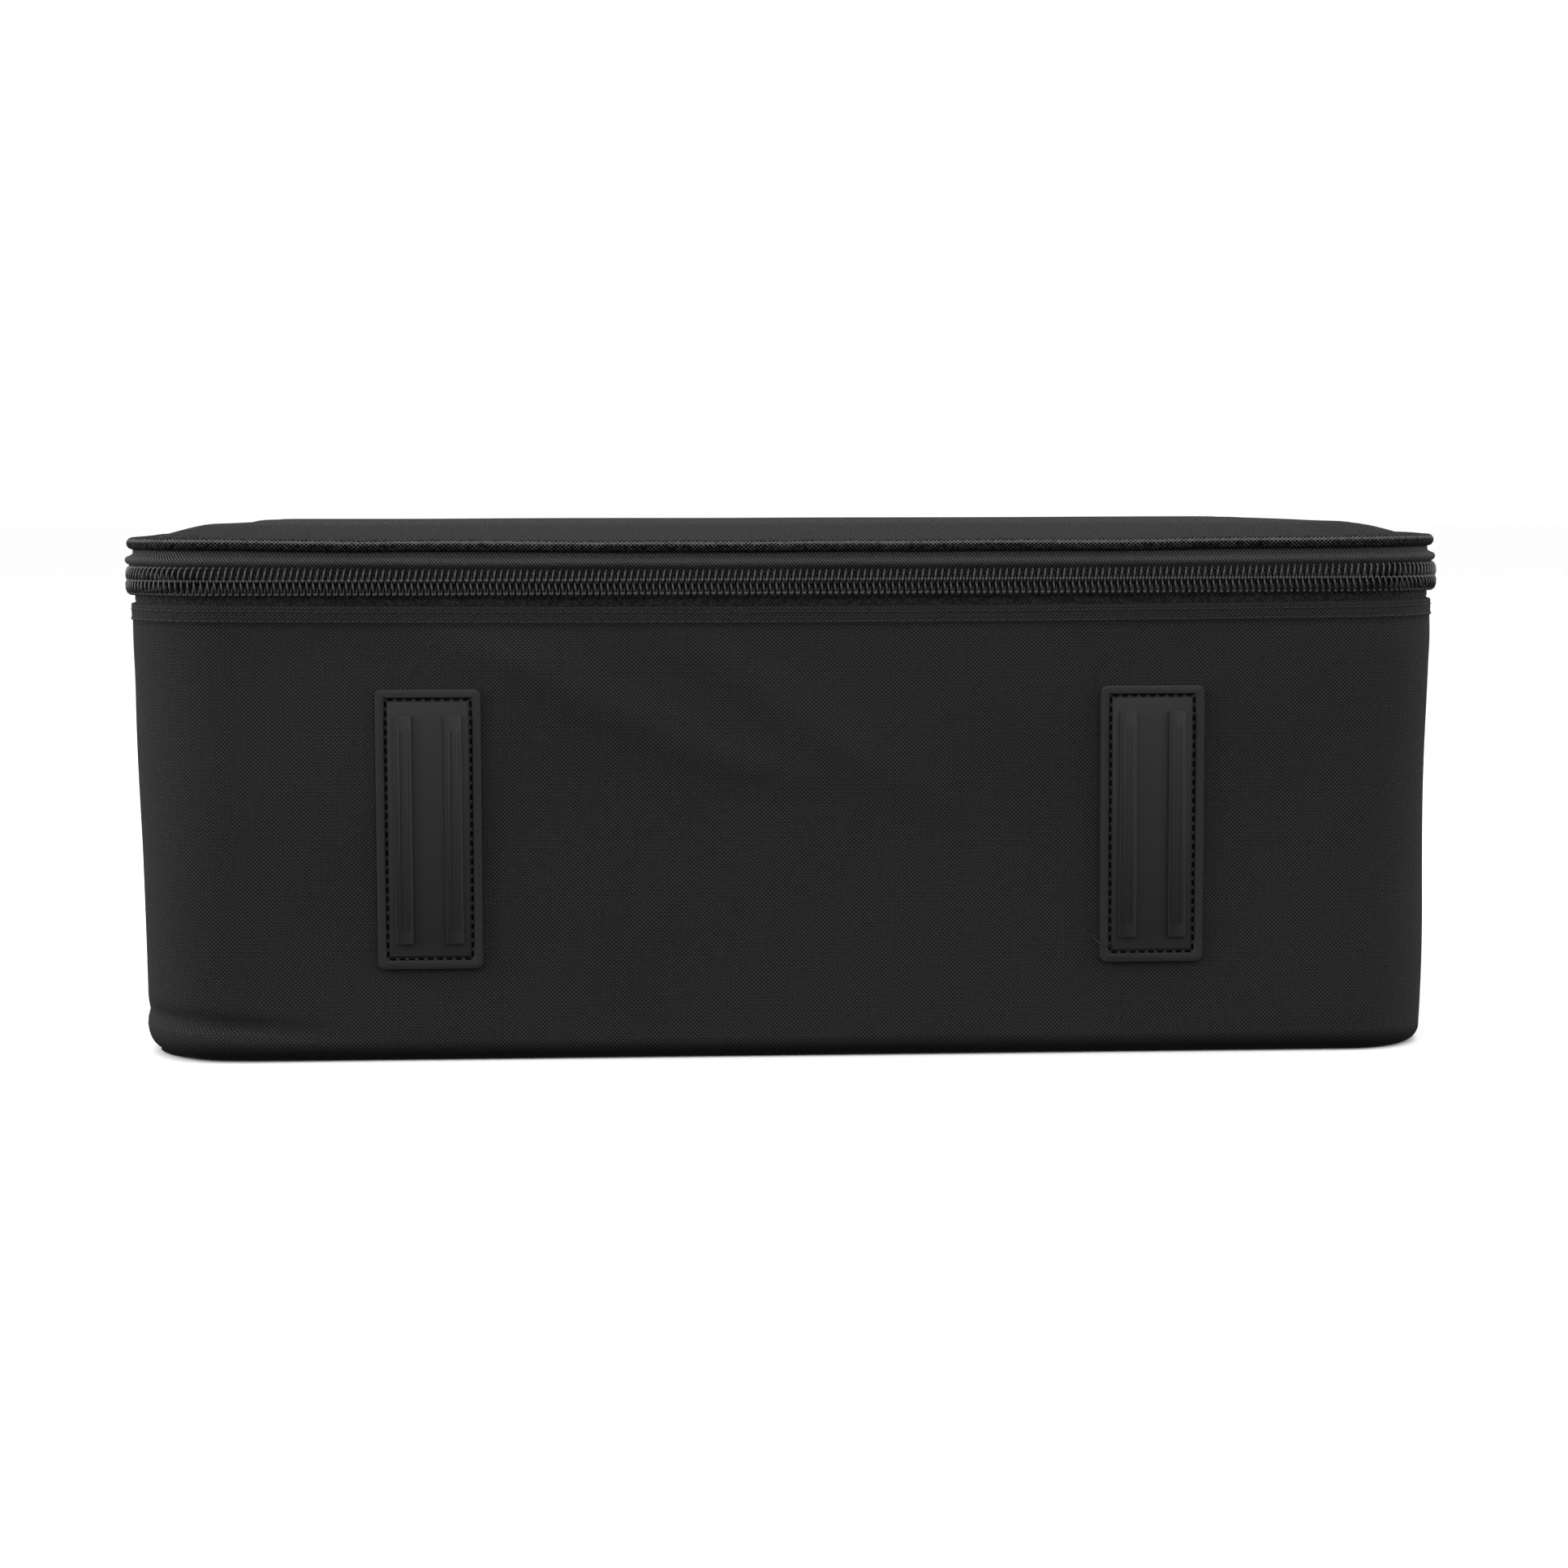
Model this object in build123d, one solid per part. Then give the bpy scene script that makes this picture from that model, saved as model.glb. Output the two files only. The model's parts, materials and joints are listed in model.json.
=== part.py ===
from build123d import *
import math
import os

# A padded, zipped bag with a hinged lid. Millimetres, +Z up, front towards -Y.
# The origin is on the floor, under the middle of the bag.

# Overall sizes
body_width = 434.0
body_depth = 300.0
corner_radius = 32.0
wall_height = 149.0          # floor to the hem along the top of the walls

# Fabric and padding
fabric = 1.0
liner = 0.8
foam = 5.5
bottom_foam_height = 5.0
bottom_margin = 3.0          # board and foam stop short of the wall padding
board = 2.0
binding = 2.0
rim_drop = 1.0               # the rim binding's top below the hem

# Zipper
chain_above_hem = 7.5        # hem to the middle of the chain
slit = 1.2                   # gap between the two coils
coil_height = 4.3
coil_depth = 3.2
tape = 0.8
tape_bulge = 0.9             # the upper tape's band stands proud of the walls
tape_bulge_gap = 0.2
upper_tape_height = 8.8
zip_end_from_back = 7.5      # the chain ends this far in front of the back wall
stop_length = 2.5
stop_proud = 0.2

# Lid
roll_radius = 2.1
roll_proud = 0.8
roll_gap = 0.1               # between the roll and what it is sewn to
crown_reach = 88.0           # from the roll to the flat middle of the lid
crown_rise = 5.5
crown_steps = 6
lid_board = 1.5
lid_liner = 1.0
lid_binding_height = 1.4
lid_binding_width = 2.8
skirt_height = 3.0           # upright edge of the lid panel beside the roll
hinge_slack = 0.5

# Foot pads on the front wall
pad_spacing = 236.0
pad_width = 34.0
pad_height = 91.0
pad_centre_height = 76.0
pad_radius = 2.1
pad_base = 1.4
pad_relief = 0.6             # rim and middle field above the stitch groove
pad_rim = 2.6
pad_field_margin = 4.0
rib_spacing = 16.2
rib_width = 5.8
rib_height = 1.8
rib_length = 74.5
ridge_spacing = 2.7
ridge_width = 0.7
ridge_height = 0.5
ridge_length = 65.0

# Sliders and pulls, on the right side
slider_length = 16.0
slider_plate = 1.4
slider_half_height = 5.6
slider_gap = 0.3             # to the coils, the tape and the other slider
slider_web = 0.6
flange_height = 1.0
nose_gap = 3.0               # half the space between the two sliders' noses
bail_radius = 0.8
bail_length = 5.0
post = 1.2
pull_thickness = 1.4
pull_width = 7.0
pull_length = 30.0
pull_eye_play = 0.4
pull_eye_wall = 1.2
pull_eye_width = 4.0
pull_hole = 1.8
pull_clearance = 0.5         # pull's eye to the plate behind it

# Handle on the back wall
handle_span = 120.0
handle_height = 75.0
handle_standoff = 6.0        # wall to the swing axis
handle_bow = 28.0            # swing axis to the middle of the strap
strap = 2.2
strap_half_width = 15.0
neck_half_width = 3.5
neck_length = 18.0
grip_length = 80.0
grip_thickness = 7.0
grip_half_width = 17.0
anchor_width = 40.0
anchor_height = 44.0
anchor_thickness = 2.0
anchor_radius = 4.0
anchor_inset = 12.0          # the patch reaches in past the end of the strap
barrel_radius = 3.0
barrel_length = 18.0
strap_end_gap = 0.3

# Dividers
divider_thickness = 10.0
divider_height = 121.0
divider_radius = 10.0
divider_floor_gap = 0.3
hook_strip = 1.0
hook_gap = 0.5
loop_strip = 1.0
loop_strip_height = 40.0
loop_strip_bottom = 60.0
loop_strip_end = 8.0         # strip's end to where the liner's corner starts
hook_strip_height = 36.0

# Worked out from the sizes above
parting = wall_height + chain_above_hem
lower_coil_top = parting - slit / 2
upper_coil_bottom = parting + slit / 2
upper_tape_top = upper_coil_bottom + upper_tape_height
roll_centre_height = upper_tape_top + roll_radius
roll_centre_inset = roll_radius - roll_proud
lid_edge = roll_centre_inset + roll_radius + roll_gap
zip_end = body_depth / 2 - zip_end_from_back
coil_proud = coil_depth - fabric
foam_face = fabric + foam
inner_face = foam_face + liner
rim_top = wall_height - rim_drop
foam_top = rim_top - binding
bottom_foam_low = fabric + board
floor_low = bottom_foam_low + bottom_foam_height
floor_top = floor_low + liner
rear_flat = body_width - 2 * corner_radius
far = 2 * (body_width + body_depth)

os.makedirs("parts", exist_ok=True)


def save(name, shape):
    export_step(shape, f"parts/{name}.step")


def outline(inset):
    width = body_width - 2 * inset
    depth = body_depth - 2 * inset
    return RectangleRounded(width, depth, corner_radius - inset)


def slab(inset, low, high):
    return Pos(0, 0, low) * extrude(outline(inset), high - low)


def band(outer, inner, low, high):
    return slab(outer, low, high) - slab(inner, low, high)


def block(x, y, z):
    """A box from three (low, high) pairs."""
    size = [high - low for low, high in (x, y, z)]
    middle = [(high + low) / 2 for low, high in (x, y, z)]
    return Pos(*middle) * Box(*size)


def ahead_of(shape, y):
    return shape & block((-far, far), (-far, y), (-far, far))


def between(shape, low, high):
    return shape & block((-far, far), (low, high), (-far, far))


rear_region = block((-rear_flat / 2, rear_flat / 2), (0, far), (-far, far))


# Bottom and walls
save("bottom_panel", slab(fabric, 0, fabric))
bottom_edge = foam_face + bottom_margin
save("bottom_board", slab(bottom_edge, fabric, bottom_foam_low))
save("bottom_foam", slab(bottom_edge, bottom_foam_low, floor_low))

wall_skin = band(0, fabric, 0, wall_height)
save("wall_fabric", wall_skin - rear_region)
save("rear_panel", wall_skin & rear_region)

wall_core = band(fabric, foam_face, fabric, foam_top)
save("wall_foam", wall_core - rear_region)
save("rear_foam", wall_core & rear_region)

liner_floor = slab(foam_face, floor_low, floor_top)
save("fire_liner_tray", liner_floor + band(foam_face, inner_face, floor_low, foam_top))
save("rim_binding", band(fabric, inner_face, foam_top, rim_top))

# Loop strips along the liner's front and rear faces
strip_face = body_depth / 2 - inner_face
strip_top = loop_strip_bottom + loop_strip_height
strip_reach = rear_flat / 2 - loop_strip_end
for name, side in (("front", -1), ("rear", 1)):
    reach = sorted((side * strip_face, side * (strip_face - loop_strip)))
    strip_z = (loop_strip_bottom, strip_top)
    save(f"loop_strip_{name}", block((-strip_reach, strip_reach), reach, strip_z))

# Zipper, lower half
lower_tape = band(fabric, fabric + tape, rim_top, lower_coil_top)
save("zip_tape_lower", ahead_of(lower_tape, zip_end))
lower_coil = band(-coil_proud, fabric, lower_coil_top - coil_height, lower_coil_top)
save("zip_coil_lower", ahead_of(lower_coil, zip_end))
stop_ring = band(-coil_proud - stop_proud, fabric, lower_coil_top - coil_height, lower_coil_top)
stops = between(stop_ring, zip_end, zip_end + stop_length)
for name, side in (("left", -1), ("right", 1)):
    save(f"zip_end_stop_{name}", stops & block(sorted((0, side * far)), (-far, far), (-far, far)))

# Fabric hinge along the back
gusset_front = zip_end + stop_length + slider_gap
gusset = band(0, tape, wall_height, upper_tape_top - hinge_slack)
save("hinge_gusset", between(gusset, gusset_front, far))

# Zipper, upper half
upper_tape = band(fabric, fabric + tape, upper_coil_bottom, upper_tape_top)
bulge_low = upper_coil_bottom + coil_height + tape_bulge_gap
upper_band = band(-tape_bulge, fabric, bulge_low, upper_tape_top - tape_bulge_gap)
save("zip_tape_upper", ahead_of(upper_tape + upper_band, zip_end))
upper_coil = band(-coil_proud, fabric, upper_coil_bottom, upper_coil_bottom + coil_height)
save("zip_coil_upper", ahead_of(upper_coil, zip_end))


# Lid
def crown(inset, drop):
    """The lid's pillow, upright at its edge and flat in the middle."""
    base = upper_tape_top
    edge_top = base + skirt_height - drop
    sections = [Pos(0, 0, base) * outline(inset)]
    for step in range(crown_steps + 1):
        share = step / crown_steps
        reach = inset + crown_reach * share
        rise = crown_rise * math.sin(share * math.pi / 2)
        width = body_width - 2 * reach
        depth = body_depth - 2 * reach
        face = RectangleRounded(width, depth, corner_radius - inset)
        sections.append(Pos(0, 0, edge_top + rise) * face)
    return loft(sections, ruled=True)


pillow = crown(lid_edge + fabric, fabric)
save("lid_top_panel", crown(lid_edge, 0) - pillow)
board_slab = slab(lid_edge + fabric, upper_tape_top, upper_tape_top + lid_board)
save("lid_board", board_slab)
save("lid_foam", pillow - board_slab)
save("fire_liner_lid", slab(lid_edge, upper_tape_top - lid_liner, upper_tape_top))

roll_path = Pos(0, 0, roll_centre_height) * outline(roll_centre_inset).wire()
roll_section = Plane(roll_path @ 0, z_dir=roll_path % 0) * Circle(roll_radius)
save("lid_edge_piping", sweep(roll_section, path=roll_path))

lid_binding_top = upper_tape_top - lid_liner
lid_binding_inset = fabric + tape
lid_binding = band(
    lid_binding_inset,
    lid_binding_inset + lid_binding_width,
    lid_binding_top - lid_binding_height,
    lid_binding_top,
)
save("lid_liner_binding", lid_binding)


# Foot pads
def foot_pad(x):
    face = Plane((x, -body_depth / 2, pad_centre_height), x_dir=(1, 0, 0), z_dir=(0, -1, 0))

    def layer(width, height, radius, lift, thickness, across=0.0):
        sketch = Pos(across, 0, lift) * RectangleRounded(width, height, radius)
        return face * extrude(sketch, thickness)

    pad = layer(pad_width, pad_height, pad_radius, 0, pad_base + pad_relief)
    inner_width = pad_width - 2 * pad_rim
    inner_height = pad_height - 2 * pad_rim
    pad -= layer(inner_width, inner_height, pad_radius / 2, pad_base, pad_relief)
    field_width = pad_width - 2 * pad_field_margin
    field_height = pad_height - 2 * pad_field_margin
    pad += layer(field_width, field_height, pad_radius / 2, 0, pad_base + pad_relief)
    top = pad_base + pad_relief
    for rib in (-rib_spacing / 2, rib_spacing / 2):
        pad += layer(rib_width, rib_length, ridge_width, 0, top + rib_height, rib)
        for ridge in (rib - ridge_spacing / 2, rib + ridge_spacing / 2):
            height = top + rib_height + ridge_height
            pad += layer(ridge_width, ridge_length, ridge_width / 3, 0, height, ridge)
    return pad


save("left_foot_pad", foot_pad(-pad_spacing / 2))
save("right_foot_pad", foot_pad(pad_spacing / 2))

# Sliders: an outer plate and an inner plate joined by a web through the slit
wall_x = body_width / 2
outer_low = wall_x + coil_proud + slider_gap
outer_high = outer_low + slider_plate
inner_high = wall_x - fabric - tape - slider_gap
inner_low = inner_high - slider_plate
pull_eye = bail_radius + pull_eye_play + pull_eye_wall
bail_x = outer_high + pull_eye + pull_clearance
flange_top = lower_coil_top - coil_height - slider_gap
slider_z = (parting - slider_half_height, parting + slider_half_height)


def slider(middle):
    y = (middle - slider_length / 2, middle + slider_length / 2)
    body = block((outer_low, outer_high), y, slider_z)
    body += block((inner_low, inner_high), y, slider_z)
    web_z = (parting - slider_web / 2, parting + slider_web / 2)
    body += block((inner_low, outer_high), y, web_z)
    flange_x = (wall_x - fabric + slider_gap, outer_high)
    body += block(flange_x, y, (flange_top - flange_height, flange_top))
    for side in (-1, 1):
        inner = middle + side * bail_length / 2
        post_y = sorted((inner, inner + side * post))
        post_z = (parting - bail_radius, parting + bail_radius)
        body += block((outer_low, bail_x + bail_radius), post_y, post_z)
    bar = Cylinder(bail_radius, bail_length + post)
    body += Pos(bail_x, middle, parting) * Rot(90, 0, 0) * bar
    return body


def pull(middle):
    eye_inner = bail_radius + pull_eye_play
    eye = Cylinder(pull_eye, pull_eye_width)
    tab_x = (bail_x - pull_thickness / 2, bail_x + pull_thickness / 2)
    neck_y = (middle - pull_eye_width / 2, middle + pull_eye_width / 2)
    neck_end = parting - pull_eye - pull_eye_width / 2
    tab_y = (middle - pull_width / 2, middle + pull_width / 2)
    body = Pos(bail_x, middle, parting) * Rot(90, 0, 0) * eye
    body += block(tab_x, neck_y, (neck_end, parting))
    body += block(tab_x, tab_y, (parting - pull_length, neck_end))
    hole_z = parting - pull_length + pull_width / 2
    body -= Pos(bail_x, middle, hole_z) * Rot(0, 90, 0) * Cylinder(pull_hole, pull_width)
    body -= Pos(bail_x, middle, parting) * Rot(90, 0, 0) * Cylinder(eye_inner, pull_width)
    return body


for name, side in (("front", -1), ("rear", 1)):
    centre = side * (nose_gap + slider_length / 2)
    save(f"{name}_zip_slider", slider(centre))
    save(f"{name}_zip_pull", pull(centre))

# Handle
wall_y = body_depth / 2
axis_y = wall_y + handle_standoff
half_span = handle_span / 2
bow_radius = (half_span**2 + handle_bow**2) / (2 * handle_bow)
bow_centre = axis_y + handle_bow - bow_radius


def bowed(thickness, half_width, half_length):
    """A bent strap of even thickness, cut off square at both ends."""
    outer = Circle(bow_radius + thickness / 2)
    ring = outer - Circle(bow_radius - thickness / 2)
    low = handle_height - half_width
    strip = Pos(0, bow_centre, low) * extrude(ring, 2 * half_width)
    return strip & block((-half_length, half_length), (wall_y, far), (-far, far))


shoulder = half_span - neck_length
strap_face = Plane((0, wall_y, handle_height), x_dir=(1, 0, 0), z_dir=(0, 1, 0))
corners = [
    (half_span, neck_half_width),
    (shoulder, strap_half_width),
    (-shoulder, strap_half_width),
    (-half_span, neck_half_width),
    (-half_span, -neck_half_width),
    (-shoulder, -strap_half_width),
    (shoulder, -strap_half_width),
    (half_span, -neck_half_width),
]
strap_shape = strap_face * extrude(make_face(Polyline(*corners, close=True)), far)
webbing = bowed(strap, strap_half_width, half_span) & strap_shape
save("handle_webbing", webbing)
sleeve = bowed(grip_thickness, grip_half_width, grip_length / 2)
save("handle_grip_sleeve", sleeve - bowed(strap, strap_half_width, half_span))

for name, side in (("left", -1), ("right", 1)):
    inner = half_span - anchor_inset
    patch_middle = side * (inner + anchor_width / 2)
    patch_face = Plane((patch_middle, wall_y, handle_height), x_dir=(1, 0, 0), z_dir=(0, 1, 0))
    patch = RectangleRounded(anchor_width, anchor_height, anchor_radius)
    anchor = patch_face * extrude(patch, anchor_thickness)
    barrel_inner = half_span + strap_end_gap
    barrel_x = sorted((side * barrel_inner, side * (barrel_inner + barrel_length)))
    barrel = Rot(0, 90, 0) * Cylinder(barrel_radius, barrel_length)
    anchor += Pos(sum(barrel_x) / 2, axis_y, handle_height) * barrel
    foot_z = (handle_height - barrel_radius, handle_height + barrel_radius)
    anchor += block(barrel_x, (wall_y, axis_y), foot_z)
    save(f"handle_anchor_{name}", anchor)

# Dividers
divider_x = (body_width - 2 * inner_face) / 6
divider_low = floor_top + divider_floor_gap
hook_face = strip_face - loop_strip - hook_gap
divider_end = hook_face - hook_strip
for name, side in (("left", -1), ("right", 1)):
    middle_height = divider_low + divider_height / 2
    start = side * divider_x - divider_thickness / 2
    face = Plane((start, 0, middle_height), x_dir=(0, 1, 0), z_dir=(1, 0, 0))
    panel = RectangleRounded(2 * divider_end, divider_height, divider_radius)
    save(f"{name}_divider", face * extrude(panel, divider_thickness))
    hook_x = (start, start + divider_thickness)
    hook_middle = loop_strip_bottom + loop_strip_height / 2
    hook_z = (hook_middle - hook_strip_height / 2, hook_middle + hook_strip_height / 2)
    strips = [block(hook_x, sorted((end * divider_end, end * hook_face)), hook_z) for end in (-1, 1)]
    save(f"{name}_divider_hooks", Compound(children=strips))
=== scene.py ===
import bpy
import json
import math
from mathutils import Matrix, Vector, noise


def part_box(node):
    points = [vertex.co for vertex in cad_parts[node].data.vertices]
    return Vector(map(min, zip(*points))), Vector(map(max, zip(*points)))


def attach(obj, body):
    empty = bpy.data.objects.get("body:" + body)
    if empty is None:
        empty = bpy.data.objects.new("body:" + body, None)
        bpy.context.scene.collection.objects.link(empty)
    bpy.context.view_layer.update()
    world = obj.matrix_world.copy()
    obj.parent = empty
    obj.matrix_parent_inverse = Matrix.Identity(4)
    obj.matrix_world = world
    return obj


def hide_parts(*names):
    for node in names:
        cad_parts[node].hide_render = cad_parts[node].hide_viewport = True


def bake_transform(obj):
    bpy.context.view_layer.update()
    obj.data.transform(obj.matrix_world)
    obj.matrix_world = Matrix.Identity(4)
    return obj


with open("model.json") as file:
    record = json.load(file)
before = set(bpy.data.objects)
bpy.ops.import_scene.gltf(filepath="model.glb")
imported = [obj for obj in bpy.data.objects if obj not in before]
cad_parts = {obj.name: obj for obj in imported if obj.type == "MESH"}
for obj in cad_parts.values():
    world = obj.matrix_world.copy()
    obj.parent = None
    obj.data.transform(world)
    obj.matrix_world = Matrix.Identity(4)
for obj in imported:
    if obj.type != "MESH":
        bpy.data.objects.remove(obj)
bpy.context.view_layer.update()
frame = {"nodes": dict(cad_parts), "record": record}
print("frame loaded")

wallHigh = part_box("wall_fabric")[1]
halfWidth, halfDepth, hemTop = wallHigh.x, wallHigh.y, wallHigh.z
lowerCoilBox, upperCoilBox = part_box("zip_coil_lower"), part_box("zip_coil_upper")
chainMiddle = (lowerCoilBox[1].z + upperCoilBox[0].z) / 2
coilOut = lowerCoilBox[1].x - halfWidth
zipEndY = lowerCoilBox[1].y
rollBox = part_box("lid_edge_piping")
rollOut = rollBox[1].x - halfWidth
rollRadius = (rollBox[1].z - rollBox[0].z) / 2
rollLift = 0.0005                # the roll rides up a little on its band
rollMiddle = (rollBox[1].z + rollBox[0].z) / 2 + rollLift
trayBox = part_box("fire_liner_tray")

bag = {
    "corner": 0.032,         # radius of the upright corners, to the outside
    "hemLeanLeft": 0.0019,   # side walls pull in under the hem
    "hemLeanRight": 0.0010,
    "hemLeanHeight": 0.026,
    "hemLeanTop": 0.55,      # share of that lean which the hem itself has
    "leanBelow": 0.004,      # the lean grows from here down, measured from the hem's top
    "sideLean": 0.0017,      # and lean in further down to the floor
    "underTurn": 0.0048,     # radius where the walls turn under
    "frontSag": 0.0012,      # the lid's edge dips in the middle of the front
    "sagStarts": 0.09,       # from this height, in full above the next
    "sagFull": 0.15,
    "step": 0.003,           # spacing of the mesh round the bag
}
cornerRadius = bag["corner"]
flatX, flatY = halfWidth - cornerRadius, halfDepth - cornerRadius
quarter = math.pi * cornerRadius / 2
runs = [flatX, quarter, 2 * flatY, quarter, 2 * flatX, quarter, 2 * flatY, quarter, flatX]
rimLength = sum(runs)
frontMiddle = rimLength / 2


def smooth(low, high, value):
    # Eases from 0 at low to 1 at high.
    share = min(1.0, max(0.0, (value - low) / (high - low)))
    return share * share * (3 - 2 * share)


def rim(s):
    # Point and outward normal on the bag's outline, s metres from the middle of the back.
    s = s % rimLength
    starts = [
        ((0, halfDepth), (-1, 0)), ((-flatX, flatY), 90), ((-halfWidth, flatY), (0, -1)),
        ((-flatX, -flatY), 180), ((-flatX, -halfDepth), (1, 0)), ((flatX, -flatY), 270),
        ((halfWidth, -flatY), (0, 1)), ((flatX, flatY), 0), ((flatX, halfDepth), (-1, 0)),
    ]
    for (origin, heading), length in zip(starts, runs):
        if s <= length + 1e-9:
            break
        s -= length
    if isinstance(heading, tuple):
        point = Vector((origin[0] + heading[0] * s, origin[1] + heading[1] * s))
        return point, Vector((heading[1], -heading[0]))
    angle = math.radians(heading) + s / cornerRadius
    normal = Vector((math.cos(angle), math.sin(angle)))
    return Vector(origin) + normal * cornerRadius, normal


def lean(normal, z):
    # How far the side walls stand inside the outline at a height.
    hemLean = bag["hemLeanLeft"] if normal.x < 0 else bag["hemLeanRight"]
    below = smooth(0, bag["hemLeanHeight"], hemTop - bag["leanBelow"] - z)
    top = (bag["hemLeanTop"] + (1 - bag["hemLeanTop"]) * below) * hemLean
    rest = max(0.0, hemTop - bag["hemLeanHeight"] - z) / hemTop * bag["sideLean"]
    return (top + rest) * normal.x ** 2


def sag(point, normal, z):
    # How far the bag's upper edge dips at a point of the outline.
    dip = 1 - (point.x / halfWidth) ** 2
    return -bag["frontSag"] * max(0.0, -normal.y) * dip * smooth(bag["sagStarts"], bag["sagFull"], z)


def skin(s, out, z, follow=1.0):
    # A point on the soft bag: out metres outside the outline, at height z.
    point, normal = rim(s)
    place = point + normal * (out - follow * lean(normal, z))
    return Vector((place.x, place.y, z + sag(point, normal, z)))


def deselect():
    bpy.ops.object.select_all(action="DESELECT")


def selectOnly(piece):
    deselect()
    piece.select_set(True)
    bpy.context.view_layer.objects.active = piece


def setUv(piece, placeAt):
    # Gives each corner of each face its UV, in metres, from its vertex.
    layer = piece.data.uv_layers.get("cloth") or piece.data.uv_layers.new(name="cloth")
    for loop in piece.data.loops:
        layer.data[loop.index].uv = placeAt(piece.data.vertices[loop.vertex_index].co)


def newPiece(name, points, faces, uvs=None):
    # A mesh object; a UV of (along, across) that wraps round the bag is carried over the seam.
    mesh = bpy.data.meshes.new(name)
    mesh.from_pydata(points, [], faces)
    if uvs:
        layer = mesh.uv_layers.new(name="cloth")
        for face in mesh.polygons:
            corners = [(index, *uvs[mesh.loops[index].vertex_index]) for index in face.loop_indices]
            wraps = max(u for _, u, _ in corners) - min(u for _, u, _ in corners) > rimLength / 2
            for index, u, v in corners:
                layer.data[index].uv = (u + rimLength * (wraps and u < rimLength / 2), v)
    mesh.polygons.foreach_set("use_smooth", [True] * len(mesh.polygons))
    piece = bpy.data.objects.new(name, mesh)
    bpy.context.scene.collection.objects.link(piece)
    return piece


def applyModifiers(piece):
    selectOnly(piece)
    for modifier in list(piece.modifiers):
        bpy.ops.object.modifier_apply(modifier=modifier.name)


def mendNormals(piece):
    selectOnly(piece)
    bpy.ops.object.mode_set(mode="EDIT")
    bpy.ops.mesh.select_all(action="SELECT")
    bpy.ops.mesh.remove_doubles(threshold=1e-6)
    bpy.ops.mesh.normals_make_consistent(inside=False)
    bpy.ops.object.mode_set(mode="OBJECT")


def thicken(piece, thickness, offset=-1):
    # Gives a sheet its wall, inwards from the face that shows unless the offset says otherwise.
    wall = piece.modifiers.new("wall", "SOLIDIFY")
    wall.thickness = thickness
    wall.offset = offset
    applyModifiers(piece)


def stations(start, end, step=None):
    # Evenly spaced places from start to end, no further apart than the step.
    count = max(2, math.ceil((end - start) / (step or bag["step"])))
    return [start + (end - start) * k / count for k in range(count + 1)]


def strip(name, profile, start, end, step=None, closedPath=False, closedProfile=False, shape=None,
          follow=1.0):
    # Sweeps a profile of (out, z) points along the outline; shape may move each point.
    path = stations(start, end, step)
    if closedPath:
        path = path[:-1]
    points, uvs = [], []
    for s in path:
        run = 0.0
        for k, (out, z) in enumerate(profile):
            if k:
                run += math.dist(profile[k - 1], (out, z))
            place = skin(s, out, z, follow)
            if shape:
                place = shape(place, s, out, z)
            points.append(place)
            uvs.append((s, run))
    n, m = len(profile), len(path)
    faces = []
    for i in range(m if closedPath else m - 1):
        for k in range(n if closedProfile else n - 1):
            a, b = i * n, (i + 1) % m * n
            faces.append((a + k, b + k, b + (k + 1) % n, a + (k + 1) % n))
    if closedProfile and not closedPath:
        faces.append(tuple(range(n)))
        faces.append(tuple(range((m - 1) * n, m * n))[::-1])
    return newPiece(name, points, faces, uvs)


# Shader maths
class Signal:
    # A socket that Python's own operators work on, by adding Math nodes.

    def __init__(self, finish, socket):
        self.finish, self.socket = finish, socket

    def math(self, operation, *others):
        values = {0: self, **{k + 1: other for k, other in enumerate(others)}}
        return self.finish.make("ShaderNodeMath", {"operation": operation}, values)

    def reflected(self, operation, other):
        return self.finish.make("ShaderNodeMath", {"operation": operation}, {0: other, 1: self})

    def __add__(self, other):
        return self.math("ADD", other)

    def __sub__(self, other):
        return self.math("SUBTRACT", other)

    def __mul__(self, other):
        return self.math("MULTIPLY", other)

    def __truediv__(self, other):
        return self.math("DIVIDE", other)

    def __gt__(self, other):
        return self.math("GREATER_THAN", other)

    def __rsub__(self, other):
        return self.reflected("SUBTRACT", other)

    __radd__, __rmul__ = __add__, __mul__

    def sin(self):
        return self.math("SINE")

    def abs(self):
        return self.math("ABSOLUTE")

    def least(self, other):
        return self.math("MINIMUM", other)

    def most(self, other):
        return self.math("MAXIMUM", other)


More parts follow.
